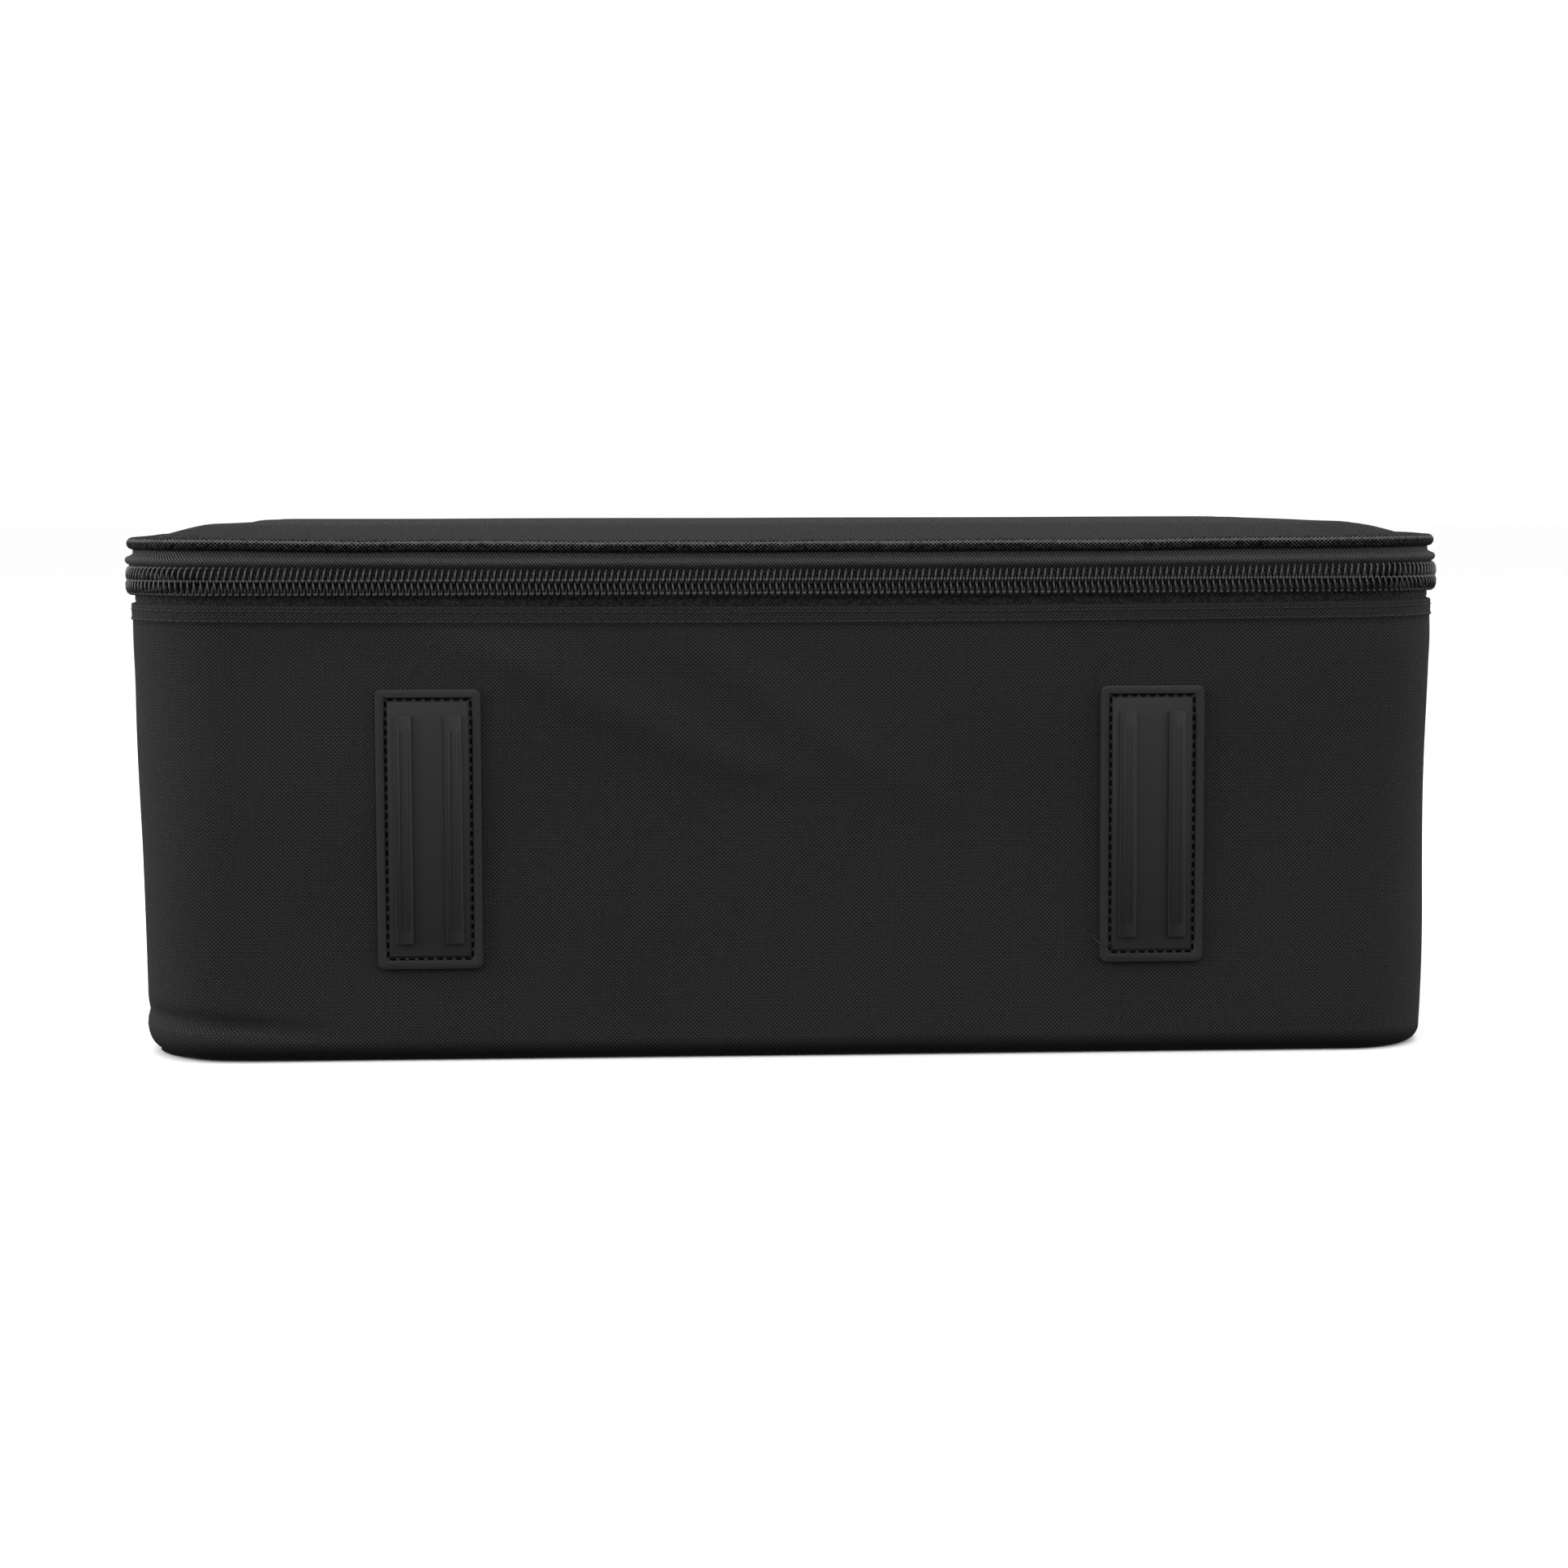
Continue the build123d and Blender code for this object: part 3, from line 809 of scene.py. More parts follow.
rollRows = []
rollSides = 14
for k in range(rollSides):
    angle = math.pi + 2 * math.pi * k / rollSides
    rollZ = rollMiddle + rollRadius * 0.96 * math.sin(angle)
    rollRows.append((-rollInset + rollRadius * math.cos(angle), rollZ))
roll = strip("lidRoll", rollRows, 0, rimLength, closedPath=True, closedProfile=True, shape=rollShape,
             follow=0.0)
mendNormals(roll)
dress(roll, "pipingCloth", "lid", ["lid_edge_piping"])

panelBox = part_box("lid_top_panel")
panelInset = halfWidth - panelBox[1].x
panelEdgeZ = rollMiddle + 0.0011


def crownHeight(depth):
    # The cloth rises fast behind the roll, then runs level.
    return lid["rise"] * (1 - math.exp(-depth / lid["riseReach"]))


def puff(piece, pressure, frames, cap, pinTest=None):
    # Inflates a closed piece as cloth, and lets no point travel further than cap.
    rest = [vertex.co.copy() for vertex in piece.data.vertices]
    if pinTest:
        group = piece.vertex_groups.new(name="held")
        group.add([v.index for v in piece.data.vertices if pinTest(v.co)], 1.0, "REPLACE")
    modifier = piece.modifiers.new("cloth", "CLOTH")
    modifier.settings.use_pressure = True
    modifier.settings.uniform_pressure_force = pressure
    modifier.settings.effector_weights.gravity = 0
    modifier.settings.quality = 5
    if pinTest:
        modifier.settings.vertex_group_mass = "held"
    modifier.point_cache.frame_start, modifier.point_cache.frame_end = 1, frames
    for step in range(1, frames + 1):
        bpy.context.scene.frame_set(step)
    applyModifiers(piece)
    bpy.context.scene.frame_set(1)
    for vertex, start in zip(piece.data.vertices, rest):
        travel = vertex.co - start
        if travel.length > cap:
            vertex.co = start + travel.normalized() * cap
    piece.vertex_groups.clear()


def remesh(piece, voxel):
    modifier = piece.modifiers.new("remesh", "REMESH")
    modifier.mode = "VOXEL"
    modifier.voxel_size = voxel
    modifier.use_smooth_shade = True
    applyModifiers(piece)


def finer(piece, levels=1):
    modifier = piece.modifiers.new("finer", "SUBSURF")
    modifier.levels = modifier.render_levels = levels
    applyModifiers(piece)


panelBottom = panelBox[0].z + 0.0001
panelLevels = [(0.11, panelBottom), (panelInset + 0.001, panelBottom), (panelInset, panelBottom + 0.0008),
               (panelInset, panelEdgeZ)]
for depth in (0.0008, 0.002, 0.004, 0.007, 0.011, 0.017, 0.025, 0.036, 0.05, 0.07, 0.095, 0.12):
    panelLevels.append((panelInset + depth, panelEdgeZ + crownHeight(depth)))
lidPanel = rings("lidPanel", panelLevels)
remesh(lidPanel, lid["voxel"])
puff(lidPanel, lid["pressure"], lid["frames"], lid["cap"], lambda p: p.z < panelEdgeZ)
finer(lidPanel)
panelTop = panelBox[1].z + 0.0012
for vertex in lidPanel.data.vertices:
    place = vertex.co
    ripple = noise.noise(Vector((place.x * 9.0, place.y * 9.0, 5.0))) * 0.0005
    if place.z > panelEdgeZ:
        place.z += ripple
        front = smooth(-halfDepth + 0.06, -halfDepth, place.y)
        place.z -= bag["frontSag"] * front * (1 - (place.x / halfWidth) ** 2)
    place.z = min(panelTop, max(panelBottom, place.z))
dress(lidPanel, "oxfordLid", "lid", ["lid_top_panel", "lid_foam", "lid_board"])
print("lid made")

# Foot pads
footPad = {"rim": 0.0026, "slope": 0.0004, "groove": 0.0007, "bevel": 0.00016, "corner": 0.0021,
           "seat": 0.0008, "ribSpacing": 0.0162, "ribWidth": 0.0058, "ribLength": 0.0745, "ribHeight": 0.0018,
           "ridgeSpacing": 0.0027, "ridgeWidth": 0.0007, "ridgeLength": 0.065, "ridgeHeight": 0.0005,
           "plate": 0.002, "stitchInset": 0.0033, "stitchRadius": 0.00034, "sunk": 0.0003,
           "sunkPlate": 0.0006}


def cubePiece(name, low, high):
    deselect()
    middle = (Vector(low) + Vector(high)) / 2
    size = Vector(high) - Vector(low)
    bpy.ops.mesh.primitive_cube_add(size=1, location=middle, scale=size)
    bpy.ops.object.transform_apply(location=True, rotation=True, scale=True)
    piece = bpy.context.object
    piece.name = piece.data.name = name
    return piece


def pick(piece, facesWhere=None, edgesWhere=None):
    # Selects faces or edges by their place or direction, in edit mode.
    bpy.ops.object.mode_set(mode="OBJECT")
    mesh = piece.data
    for item in (*mesh.vertices, *mesh.edges, *mesh.polygons):
        item.select = False
    if facesWhere:
        for face in mesh.polygons:
            face.select = facesWhere(face)
    if edgesWhere:
        for edge in mesh.edges:
            a, b = (mesh.vertices[k].co for k in edge.vertices)
            edge.select = edgesWhere(a, b)
    bpy.context.tool_settings.mesh_select_mode = (False, bool(edgesWhere), bool(facesWhere))
    bpy.ops.object.mode_set(mode="EDIT")


def beginEdit(piece):
    selectOnly(piece)
    bpy.ops.object.mode_set(mode="EDIT")


def endEdit():
    bpy.ops.object.mode_set(mode="OBJECT")


def bevelled(piece, width, segments=2):
    modifier = piece.modifiers.new("edges", "BEVEL")
    modifier.width = width
    modifier.segments = segments
    modifier.limit_method = "ANGLE"
    modifier.angle_limit = math.radians(35)
    applyModifiers(piece)
    deselect()
    piece.select_set(True)
    bpy.ops.object.shade_smooth_by_angle(angle=math.radians(40))


def joined(pieces):
    deselect()
    for piece in pieces:
        piece.select_set(True)
    bpy.context.view_layer.objects.active = pieces[0]
    bpy.ops.object.join()
    return pieces[0]


def runsAlong(axis):
    return lambda a, b: (b - a).normalized()[axis] ** 2 > 0.99


def makePad(name, node):
    low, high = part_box(node)
    back = high.y
    plate = cubePiece(name, (low.x, back - footPad["plate"], low.z),
                      (high.x, back + footPad["sunkPlate"], high.z))
    beginEdit(plate)
    pick(plate, facesWhere=lambda face: face.normal.y < -0.9)
    bpy.ops.mesh.inset(thickness=footPad["rim"])
    bpy.ops.mesh.inset(thickness=footPad["slope"], depth=-footPad["groove"])
    bpy.ops.mesh.inset(thickness=footPad["seat"])
    bpy.ops.mesh.inset(thickness=footPad["slope"], depth=footPad["groove"])
    pick(plate, edgesWhere=runsAlong(1))
    bpy.ops.mesh.bevel(offset=footPad["corner"], segments=5, affect="EDGES")
    endEdit()
    pieces = [plate]
    middleX, middleZ = (low.x + high.x) / 2, (low.z + high.z) / 2
    face = back - footPad["plate"]
    for ribAt in (-footPad["ribSpacing"] / 2, footPad["ribSpacing"] / 2):
        x = middleX + ribAt
        halfRib, halfLong = footPad["ribWidth"] / 2, footPad["ribLength"] / 2
        rib = cubePiece("rib", (x - halfRib, face - footPad["ribHeight"], middleZ - halfLong),
                        (x + halfRib, face + footPad["sunk"], middleZ + halfLong))
        beginEdit(rib)
        pick(rib, edgesWhere=runsAlong(1))
        bpy.ops.mesh.bevel(offset=0.0006, segments=3, affect="EDGES")
        endEdit()
        pieces.append(rib)
        for side in (-0.5, 0.5):
            ridgeX = x + side * footPad["ridgeSpacing"]
            ridgeHalf, ridgeLong = footPad["ridgeWidth"] / 2, footPad["ridgeLength"] / 2
            top = face - footPad["ribHeight"]
            crown = top - footPad["ridgeHeight"]
            ridge = cubePiece("ridge", (ridgeX - ridgeHalf, crown, middleZ - ridgeLong),
                              (ridgeX + ridgeHalf, top + footPad["sunk"], middleZ + ridgeLong))
            pieces.append(ridge)
    pad = joined(pieces)
    bevelled(pad, footPad["bevel"])
    dress(pad, "rubber_pad", "base", [node])
    inset = footPad["stitchInset"]
    corners = [Vector((low.x + inset, 0, low.z + inset)), Vector((high.x - inset, 0, low.z + inset)),
               Vector((high.x - inset, 0, high.z - inset)), Vector((low.x + inset, 0, high.z - inset))]
    path = []
    surface = back - footPad["plate"] + footPad["groove"]
    for start, end in zip(corners, corners[1:] + corners[:1]):
        count = round((end - start).length / thread["pitch"])
        along = (end - start).normalized()
        for k in range(count):
            place = start + (end - start) * ((k + 0.5) / count)
            path.append((Vector((place.x, surface, place.z)), along, Vector((0, -1, 0))))
    # The pad stitches use the darkened thread, with painted shade of their holes.
    stitchRow(name + "Stitches", path, "base", "padThreadShaded", footPad["stitchRadius"])
    return pad


makePad("leftFootPad", "left_foot_pad")
makePad("rightFootPad", "right_foot_pad")
print("foot pads made")

# A loose end of thread where the right pad's stitching stops
padLow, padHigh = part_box("right_foot_pad")
tailY = padHigh.y - footPad["plate"] - 0.0001
tailStart = Vector((padLow.x + footPad["stitchInset"], tailY, padLow.z + 0.0052))
tailOffsets = [(0, 0, 0), (-0.0022, -0.0006, 0.0004), (-0.0042, -0.0002, 0.0014), (-0.0056, 0.0012, 0.0031)]
bpy.ops.curve.primitive_bezier_curve_add()
loose = bpy.context.object
loose.name = "looseThread"
loose.data.splines.clear()
line = loose.data.splines.new("NURBS")
line.points.add(len(tailOffsets) - 1)
for point, offset in zip(line.points, tailOffsets):
    point.co = (*(tailStart + Vector(offset)), 1)
line.order_u = 3
line.use_endpoint_u = True
loose.location = (0, 0, 0)
loose.data.bevel_depth = 0.00018
loose.data.bevel_resolution = 2
loose.data.use_fill_caps = True
selectOnly(loose)
bpy.ops.object.convert(target="MESH")
dress(loose, "thread", "base")

# Padding inside the walls, which the outer cloth leans against
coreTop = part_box("wall_foam")[1].z - 0.0002
coreIn = -(halfWidth - trayBox[1].x) + 0.0001
coreOut = -0.0022
coreFoot = 0.019            # clear of the creased corner
coreRows = [(coreOut, coreFoot), (coreOut, 0.04), (coreOut, 0.08), (coreOut, hemTop - 0.026),
            (coreOut, hemTop - 0.014), (coreOut, coreTop), (coreIn, coreTop), (coreIn, coreFoot)]


def leanOutside(place, s, out, z):
    # The outer face leans with the cloth, and the inner one stays upright.
    normal = rim(s)[1]
    if out < -0.003:
        return place
    return place - Vector((normal.x, normal.y, 0)) * lean(normal, z)


def padding(name, start, end, node):
    core = strip(name, coreRows, start, end, 0.006, closedProfile=True, shape=leanOutside, follow=0.0)
    mendNormals(core)
    dress(core, "foam", "base", [node])


padding("wallPadding", wallStart, wallEnd, "wall_foam")
padding("rearPadding", -rearSeam + 0.0002, rearSeam - 0.0002, "rear_foam")

# Liner tray, silver inside
linerWall = {"in": trayBox[1].x - 0.0008 - halfWidth, "thickness": 0.0007, "corner": 0.006, "pucker": 0.0004}
floorZ = trayBox[0].z
linerFloorTop = floorZ + 0.0008


def puckers(place, s, out, z):
    normal = rim(s)[1]
    push = noise.noise(Vector((s * 14.0, z * 20.0, 21.0))) * linerWall["pucker"]
    near = smooth(trayBox[1].z, trayBox[1].z - 0.02, z) * smooth(linerFloorTop, 0.03, z)
    return place + Vector((normal.x, normal.y, 0)) * min(0.0, push) * near


trayRows = [(linerWall["in"], trayBox[1].z - 0.0001)]
trayDrop = trayBox[1].z - linerFloorTop - linerWall["corner"]
for k in range(1, 24):
    trayRows.append((linerWall["in"], trayBox[1].z - trayDrop * k / 23))
for k in range(1, 6):
    angle = math.pi / 2 * k / 5
    bend = linerWall["corner"]
    bendZ = linerFloorTop + bend - bend * math.sin(angle)
    trayRows.append((linerWall["in"] - bend + bend * math.cos(angle), bendZ))
trayWalls = strip("linerTray", trayRows, 0, rimLength, 0.006, closedPath=True, shape=puckers, follow=0.0)
thicken(trayWalls, linerWall["thickness"])
trayEdge = -linerWall["in"] + linerWall["corner"] - 0.0004
trayLevels = [(0.12, floorZ + 0.0001), (trayEdge, floorZ + 0.0001), (trayEdge, linerFloorTop),
              (0.12, linerFloorTop)]
trayFloor = rings("trayFloor", trayLevels)
flatUv(trayFloor)
linerTray = joined([trayWalls, trayFloor])
dress(linerTray, "fire_liner", "base", ["fire_liner_tray"])


def roundedBand(name, outer, inner, low, high, body, node, finish, step=0.004):
    # A folded binding that runs all the way round: a rounded closed section.
    radius = min(outer - inner, high - low) / 2 * 0.95
    rows = []
    right, left, top, bottom = outer - radius, inner + radius, high - radius, low + radius
    corners = ((right, top, 0), (left, top, 90), (left, bottom, 180), (right, bottom, 270))
    for cornerOut, cornerZ, first in corners:
        for k in range(4):
            angle = math.radians(first + 30 * k)
            rows.append((cornerOut + radius * math.cos(angle), cornerZ + radius * math.sin(angle)))
    piece = strip(name, rows, 0, rimLength, step, closedPath=True, closedProfile=True, follow=0.0)
    mendNormals(piece)
    return dress(piece, finish, body, [node])


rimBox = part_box("rim_binding")
roundedBand("rimBinding", rimBox[1].x - halfWidth - 0.0014, linerWall["in"], rimBox[0].z, rimBox[1].z,
            "base", "rim_binding", "binding")
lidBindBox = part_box("lid_liner_binding")
roundedBand("lidBinding", lidBindBox[1].x - halfWidth, lidBindBox[1].x - halfWidth - 0.0028, lidBindBox[0].z,
            lidBindBox[1].z, "lid", "lid_liner_binding", "binding")

# Lid lining, quilted
quilt = {"pitch": 0.05, "depth": 0.003, "rings": 60, "edge": 0.012}
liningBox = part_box("fire_liner_lid")
liningInset = halfWidth - liningBox[1].x + 0.0015
reach = halfDepth - 0.001 - liningInset
downward = []
for k in range(quilt["rings"] + 1):
    downward.append((liningInset + reach * (1 - k / quilt["rings"]), liningBox[0].z))
lining = rings("lidLining", downward + [(liningInset, liningBox[1].z), (0.12, liningBox[1].z)], 0.008)
for vertex in lining.data.vertices:
    place = vertex.co
    if place.z < (liningBox[0].z + liningBox[1].z) / 2:
        edge = min(halfWidth - liningInset - abs(place.x), halfDepth - liningInset - abs(place.y))
        first = math.sin(math.pi * (place.x + place.y) / quilt["pitch"])
        second = math.sin(math.pi * (place.x - place.y) / quilt["pitch"])
        place.z -= quilt["depth"] * math.sqrt(abs(first * second)) * smooth(0.008, 0.02, edge)
flatUv(lining)
dress(lining, "fire_liner", "lid", ["fire_liner_lid"])
quiltRow = []
quiltX, quiltY = halfWidth - liningInset - quilt["edge"], halfDepth - liningInset - quilt["edge"]
for way in (-1, 1):
    for line in range(-8, 9):
        count = int(2 * quiltX / (thread["pitch"] * math.sqrt(0.5)))
        for k in range(count):
            x = -quiltX + 2 * quiltX * (k + 0.5) / count
            y = way * (x - line * quilt["pitch"])
            if abs(y) < quiltY:
                along = Vector((1, way, 0)).normalized()
                quiltRow.append((Vector((x, y, liningBox[0].z)), along, Vector((0, 0, -1))))
stitchRow("quiltStitches", quiltRow, "lid")
print("inside made")

# Fabric hinge along the back
hinge = {"bulge": 0.0007, "start": hemTop + 0.0008, "end": rollMiddle - rollRadius - 0.0012,
         "low": hemTop - 0.005, "high": rollMiddle - 0.0012, "rows": 12}
hingeRows = []
for k in range(hinge["rows"] + 1):
    z = hinge["low"] + (hinge["high"] - hinge["low"]) * k / hinge["rows"]
    middle = 1 - ((z - (hinge["start"] + hinge["end"]) / 2) / 0.012) ** 2
    hingeRows.append((-0.0013 + hinge["bulge"] * max(0.0, middle), z))
hingeStart = zipEnd + 0.0006
hingeCloth = strip("hingeCloth", hingeRows, hingeStart, rimLength + zipStart - 0.0006, follow=0.0)
thicken(hingeCloth, zipper["tape"])
dress(hingeCloth, "oxford_black", None, ["hinge_gusset"])
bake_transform(hingeCloth)

# Sliders and pulls
slider = {"plate": 0.0014, "gap": 0.0003, "corner": 0.0022, "nose": 0.72, "field": 0.0011,
          "fieldLift": 0.0004, "bevel": 0.00028, "arch": 0.0008, "archReach": 0.0031, "web": 0.0006}


def makeSlider(name, node, body, noseWay):
    low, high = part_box(node)
    outerLow = halfWidth + coilOut + slider["gap"]
    outerHigh = outerLow + slider["plate"]
    zLow, zHigh = chainMiddle - (high.z - chainMiddle), high.z
    plates = []
    for x0, x1, facing in ((outerLow, outerHigh, 1), (low.x, low.x + slider["plate"], -1)):
        plate = cubePiece("plate", (x0, low.y, zLow), (x1, high.y, zHigh))
        beginEdit(plate)
        pick(plate, edgesWhere=runsAlong(0))
        bpy.ops.mesh.bevel(offset=slider["corner"], segments=4, affect="EDGES")
        pick(plate, facesWhere=lambda face: face.normal.x * facing > 0.9)
        bpy.ops.mesh.inset(thickness=slider["field"], depth=slider["fieldLift"] if facing > 0 else 0.0)
        endEdit()
        for vertex in plate.data.vertices:
            along = (vertex.co.y - (low.y + high.y) / 2) / (high.y - low.y) * 2 * noseWay
            narrow = 1 - (1 - slider["nose"]) * smooth(-0.2, 1.0, along)
            vertex.co.z = chainMiddle + (vertex.co.z - chainMiddle) * narrow
        plates.append(plate)
    middle = (low.y + high.y) / 2
    web = cubePiece("web", (low.x + slider["plate"] / 2, middle - 0.004, chainMiddle - slider["web"] / 2),
                    (outerLow + slider["plate"] / 2, middle + 0.004, chainMiddle + slider["web"] / 2))
    flange = cubePiece("flange", (halfWidth - 0.0007, low.y + 0.0012, low.z),
                       (outerHigh - 0.0003, high.y - 0.0012, low.z + 0.001))
    skirt = cubePiece("skirt", (outerLow, low.y + 0.0014, low.z + 0.0002),
                      (outerHigh - 0.0004, high.y - 0.0014, zLow + 0.002))
    deselect()
    bailX = high.x - slider["arch"]
    bpy.ops.mesh.primitive_torus_add(location=(outerHigh, middle, chainMiddle),
                                     major_radius=slider["archReach"], minor_radius=slider["arch"],
                                     major_segments=28, minor_segments=10)
    arch = bpy.context.object
    arch.scale = ((bailX - outerHigh) / slider["archReach"], 1, 1)
    bpy.ops.object.transform_apply(location=True, rotation=True, scale=True)
    beginEdit(arch)
    bpy.ops.mesh.select_all(action="SELECT")
    bpy.ops.mesh.bisect(plane_co=(outerHigh - 0.0005, middle, chainMiddle), plane_no=(1, 0, 0),
                        clear_inner=True, use_fill=True)
    endEdit()
    hard = joined([*plates, web, flange, skirt])
    bevelled(hard, slider["bevel"])
    whole = joined([hard, arch])
    whole.name = name
    return dress(whole, "slider_metal", body, [node])


pull = {"ring": 0.0018, "ringWire": 0.0006, "waist": 0.55, "inset": 0.0013, "dish": 0.0003, "hole": 0.0019,
        "bevel": 0.0003, "thickness": 0.0014, "neck": 0.004, "eye": 0.0072, "end": 0.0026}


def makePull(name, node, body):
    low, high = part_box(node)
    middle = (low.y + high.y) / 2
    axisX = (low.x + high.x) / 2
    halfThick = pull["thickness"] / 2
    tabTop = chainMiddle - pull["ring"] - pull["ringWire"] * 0.4
    tab = cubePiece("tab", (axisX - halfThick, low.y, low.z), (axisX + halfThick, high.y, tabTop))
    neckZ, eyeZ = tabTop - pull["neck"], low.z + pull["eye"]
    beginEdit(tab)
    for cut in (neckZ, eyeZ):
        bpy.ops.mesh.select_all(action="SELECT")
        bpy.ops.mesh.bisect(plane_co=(0, 0, cut), plane_no=(0, 0, 1))
    pick(tab, edgesWhere=lambda a, b: abs(a.z - low.z) < 1e-6 and runsAlong(0)(a, b))
    bpy.ops.mesh.bevel(offset=pull["end"], segments=5, affect="EDGES")
    pick(tab, facesWhere=lambda face: abs(face.normal.x) > 0.9 and eyeZ < face.center.z < neckZ)
    bpy.ops.mesh.inset(thickness=pull["inset"], depth=-pull["dish"])
    pick(tab, facesWhere=lambda face: abs(face.normal.x) > 0.9 and face.center.z < eyeZ)
    bpy.ops.mesh.inset(thickness=pull["hole"])
    bpy.ops.mesh.bridge_edge_loops()
    endEdit()
    for vertex in tab.data.vertices:
        narrow = 1 - (1 - pull["waist"]) * smooth(tabTop - 0.0045, tabTop - 0.001, vertex.co.z)
        vertex.co.y = middle + (vertex.co.y - middle) * narrow
    bevelled(tab, pull["bevel"])
    deselect()
    bpy.ops.mesh.primitive_torus_add(location=(axisX, middle, chainMiddle), rotation=(math.radians(90), 0, 0),
                                     major_radius=pull["ring"], minor_radius=pull["ringWire"],
                                     major_segments=28, minor_segments=10)
    bpy.ops.object.transform_apply(location=True, rotation=True, scale=True)
    ring = bpy.context.object
    whole = joined([tab, ring])
    whole.name = name
    return dress(whole, "slider_metal", body, [node])


for side, noseWay in (("front", 1), ("rear", -1)):
    makeSlider(side + "Slider", side + "_zip_slider", side + "_slider", noseWay)
    makePull(side + "Pull", side + "_zip_pull", side + "_pull")
print("sliders made")

# Handle on the back
strapBox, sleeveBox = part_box("handle_webbing"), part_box("handle_grip_sleeve")
handle = {"thickness": 0.0022, "patch": 0.002, "neck": 0.0085, "end": 0.022, "sleeveThickness": 0.0072,
          "sleeveSides": 24, "sleeveSteps": 40, "stitches": 26, "stitchInset": 0.0031}
handleZ = (strapBox[0].z + strapBox[1].z) / 2
halfStrap = (strapBox[1].z - strapBox[0].z) / 2
halfSpan = strapBox[1].x
axisY = halfDepth + 0.006
bow = strapBox[1].y - handle["thickness"] / 2 - axisY
bowRadius = (halfSpan ** 2 + bow ** 2) / (2 * bow)
bowAngle = math.asin(halfSpan / bowRadius)
patchFace = halfDepth + handle["patch"]


def bowPoint(angle):
    return Vector((bowRadius * math.sin(angle), axisY + bow - bowRadius + bowRadius * math.cos(angle)))


def handleLine():
    # Middle line of the strap from the left patch, out along the bow and back to the right one.
    bowed = [bowPoint(-bowAngle * 0.9 + bowAngle * 1.8 * k / 40) for k in range(41)]
    sewnY = patchFace + handle["thickness"] / 2 + 0.0001
    outX = halfSpan + handle["end"]
    lead = []
    for k in range(12):
        share = k / 12
        x = -outX + (outX + bowed[0].x) * share
        lift = smooth(0.35, 1.0, share) ** 1.4
        lead.append(Vector((x, sewnY + (bowed[0].y - sewnY) * lift)))
    tail = [Vector((-place.x, place.y)) for place in reversed(lead)]
    return lead + bowed + tail


def strapAlong(name, line, widthAt, thickness, lanes=8):
    # A strap of webbing laid along a line seen from above.
    points, uvs = [], []
    run = 0.0
    for k, place in enumerate(line):
        if k:
            run += (place - line[k - 1]).length
        half = widthAt(place.x)
        for lane in range(lanes + 1):
            share = lane / lanes * 2 - 1
            points.append((place.x, place.y, handleZ + share * half))
            uvs.append((run, share * halfStrap))
    faces = []
    for k in range(len(line) - 1):
        for lane in range(lanes):
            a, b = k * (lanes + 1) + lane, (k + 1) * (lanes + 1) + lane
            faces.append((a, a + 1, b + 1, b))
    piece = newPiece(name, points, faces, uvs)
    thicken(piece, thickness, 0)
    mendNormals(piece)
    return piece


def strapWidth(x):
    # Half its width, pinched where it leaves the patches.
    pinch = math.exp(-((abs(x) - halfSpan - 0.001) / 0.009) ** 2)
    return halfStrap - (halfStrap - handle["neck"]) * pinch


strapPiece = strapAlong("handleStrap", handleLine(), strapWidth, handle["thickness"])
bevelled(strapPiece, 0.0005)
dress(strapPiece, "webbing", None, ["handle_webbing"])
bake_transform(strapPiece)

sleeveAngle = math.asin(sleeveBox[1].x / bowRadius)
halfSleeve = (sleeveBox[1].z - sleeveBox[0].z) / 2 - 0.0006
sleevePoints = []
sides, steps = handle["sleeveSides"], handle["sleeveSteps"]
for k in range(steps + 1):
    angle = -sleeveAngle + 2 * sleeveAngle * k / steps
    middle = bowPoint(angle)
    outward = Vector((math.sin(angle), math.cos(angle)))
    share = abs(k / steps * 2 - 1)
    fat = handle["sleeveThickness"] / 2 * (0.62 + 0.38 * (1 - share ** 8))
    for j in range(sides):
        around = 2 * math.pi * j / sides
        wide = abs(math.cos(around)) ** 0.45 * math.copysign(1, math.cos(around))
        thick = abs(math.sin(around)) ** 0.8 * math.copysign(1, math.sin(around))
        place = middle + outward * fat * thick
        sleevePoints.append((place.x, place.y, handleZ + halfSleeve * wide))
sleevePiece = newPiece("gripSleeve", sleevePoints, tubeFaces(steps, sides))
mendNormals(sleevePiece)
finer(sleevePiece)
dress(sleevePiece, "sleeveCloth", "handle", ["handle_grip_sleeve"])
seam = []
for k in range(handle["stitches"]):
    angle = -sleeveAngle * 0.94 + 1.88 * sleeveAngle * (k + 0.5) / handle["stitches"]
    middle = bowPoint(angle)
    outward = Vector((math.sin(angle), math.cos(angle), 0))
    along = Vector((math.cos(angle), -math.sin(angle), 0))
    for level in (-0.6, 0.6):
        place = Vector((middle.x, middle.y, handleZ + halfSleeve * level))
        seam.append((place + outward * (handle["sleeveThickness"] / 2 * 0.93), along, outward))
stitchRow("gripStitches", seam, "handle")

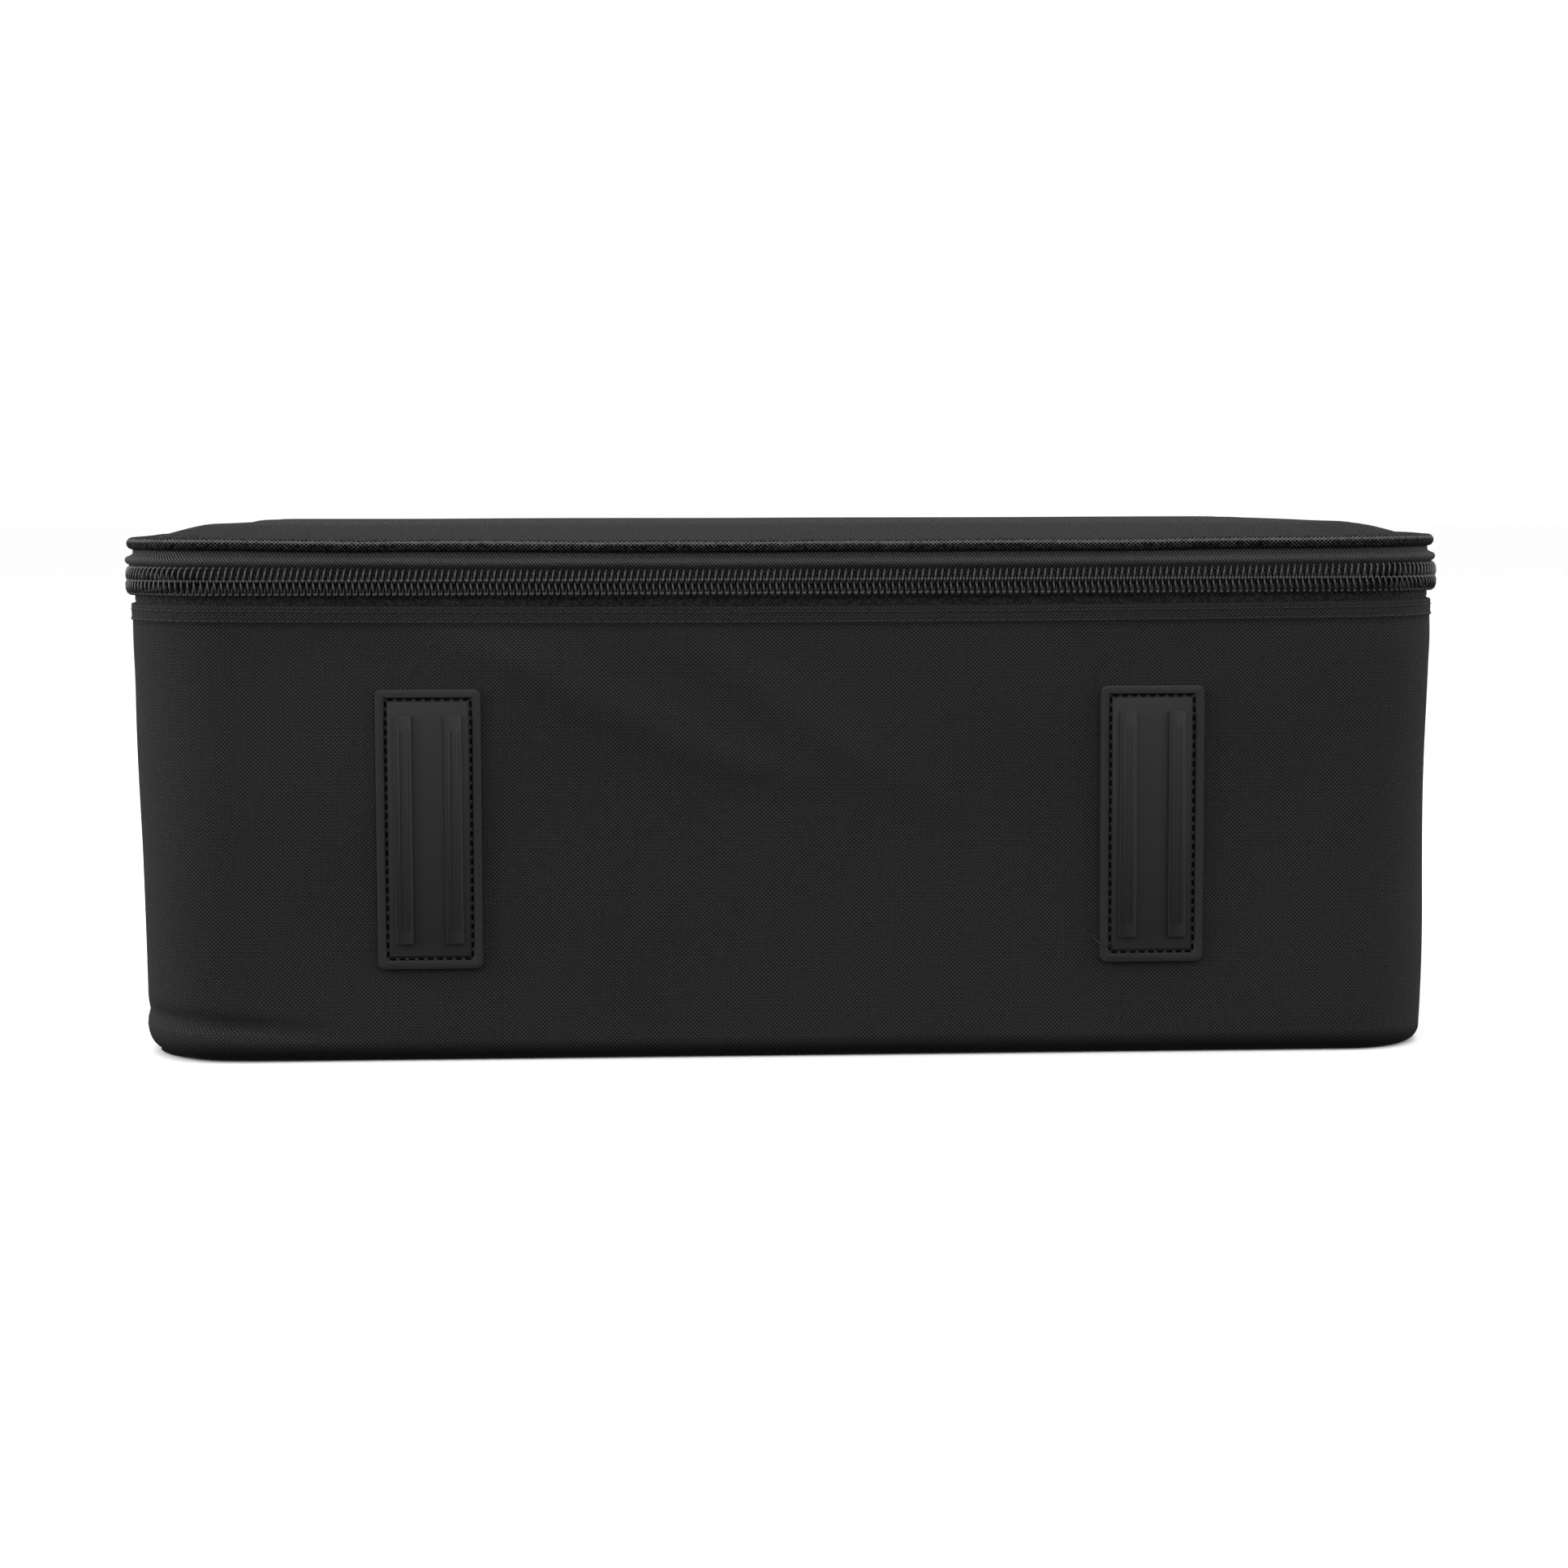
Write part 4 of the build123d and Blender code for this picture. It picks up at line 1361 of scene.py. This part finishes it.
for side, way in (("left", -1), ("right", 1)):
    low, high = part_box("handle_anchor_" + side)
    patch = cubePiece(side + "HandlePatch", (low.x, halfDepth - 0.0006, low.z), (high.x, patchFace, high.z))
    beginEdit(patch)
    pick(patch, edgesWhere=runsAlong(1))
    bpy.ops.mesh.bevel(offset=0.004, segments=4, affect="EDGES")
    pick(patch, facesWhere=lambda face: face.normal.y > 0.9)
    bpy.ops.mesh.inset(thickness=0.0028, depth=0.0)
    bpy.ops.mesh.inset(thickness=0.0006, depth=-0.0003)
    endEdit()
    bevelled(patch, 0.0004)
    setUv(patch, lambda place: (place.x, place.z))
    dress(patch, "webbing", "base", ["handle_anchor_" + side])
    outline = []
    inset = handle["stitchInset"]
    corners = [(low.x + inset, low.z + inset), (high.x - inset, low.z + inset),
               (high.x - inset, high.z - inset), (low.x + inset, high.z - inset)]
    boxX = sorted((way * (halfSpan + 0.009), way * (halfSpan + handle["end"] - 0.002)))
    boxZ = (handleZ - halfStrap + 0.002, handleZ + halfStrap - 0.002)
    strapFace = patchFace + handle["thickness"] + 0.0002
    cross = [(boxX[0], boxZ[0]), (boxX[1], boxZ[0]), (boxX[1], boxZ[1]), (boxX[0], boxZ[1])]
    runsOfStitches = [(a, b, patchFace) for a, b in zip(corners, corners[1:] + corners[:1])]
    runsOfStitches += [(a, b, strapFace) for a, b in zip(cross, cross[1:] + cross[:1])]
    runsOfStitches += [(cross[0], cross[2], strapFace), (cross[1], cross[3], strapFace)]
    for a, b, face in runsOfStitches:
        start, end = Vector((a[0], face, a[1])), Vector((b[0], face, b[1]))
        count = max(1, round((end - start).length / thread["pitch"]))
        for k in range(count):
            middle = start.lerp(end, (k + 0.5) / count)
            outline.append((middle, (end - start).normalized(), Vector((0, 1, 0))))
    stitchRow(side + "PatchStitches", outline, "base")
print("handle made")

# Dividers and their hook and loop strips
divider = {"slim": 0.0012, "voxel": 0.0045, "pressure": 4.0, "frames": 16, "cap": 0.0011, "corner": 0.009,
           "hooks": 0.001}
for side in ("left", "right"):
    low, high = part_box(side + "_divider")
    slim = Vector((divider["slim"], divider["slim"] / 2, divider["slim"] / 2))
    pad = cubePiece(side + "Divider", low + slim, high - slim)
    beginEdit(pad)
    pick(pad, edgesWhere=runsAlong(0))
    bpy.ops.mesh.bevel(offset=divider["corner"], segments=5, affect="EDGES")
    pick(pad, facesWhere=lambda face: abs(face.normal.x) > 0.9)
    bpy.ops.mesh.inset(thickness=0.006, depth=0.0006)
    endEdit()
    remesh(pad, divider["voxel"])
    puff(pad, divider["pressure"], divider["frames"], divider["cap"])
    finer(pad)
    dress(pad, "divider_fabric", side + "_divider", [side + "_divider"])
    hooks = []
    hookLow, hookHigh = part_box(side + "_divider_hooks")
    hookThick = divider["hooks"]
    for y0, y1 in ((hookLow.y, hookLow.y + hookThick), (hookHigh.y - hookThick, hookHigh.y)):
        ends = ((hookLow.x + 0.0015, y0, hookLow.z), (hookHigh.x - 0.0015, y1, hookHigh.z))
        hooks.append(cubePiece("hook", *ends))
    hooksPiece = joined(hooks)
    hooksPiece.name = side + "Hooks"
    bevelled(hooksPiece, 0.0003)
    dress(hooksPiece, "hook_and_loop", side + "_divider", [side + "_divider_hooks"])
for side in ("front", "rear"):
    low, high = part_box("loop_strip_" + side)
    band = cubePiece(side + "LoopStrip", low, high)
    beginEdit(band)
    pick(band, facesWhere=lambda face: abs(face.normal.y) > 0.9)
    bpy.ops.mesh.inset(thickness=0.0015, depth=0.0)
    endEdit()
    bevelled(band, 0.0003)
    dress(band, "hook_and_loop", "base", ["loop_strip_" + side])
print("dividers made")
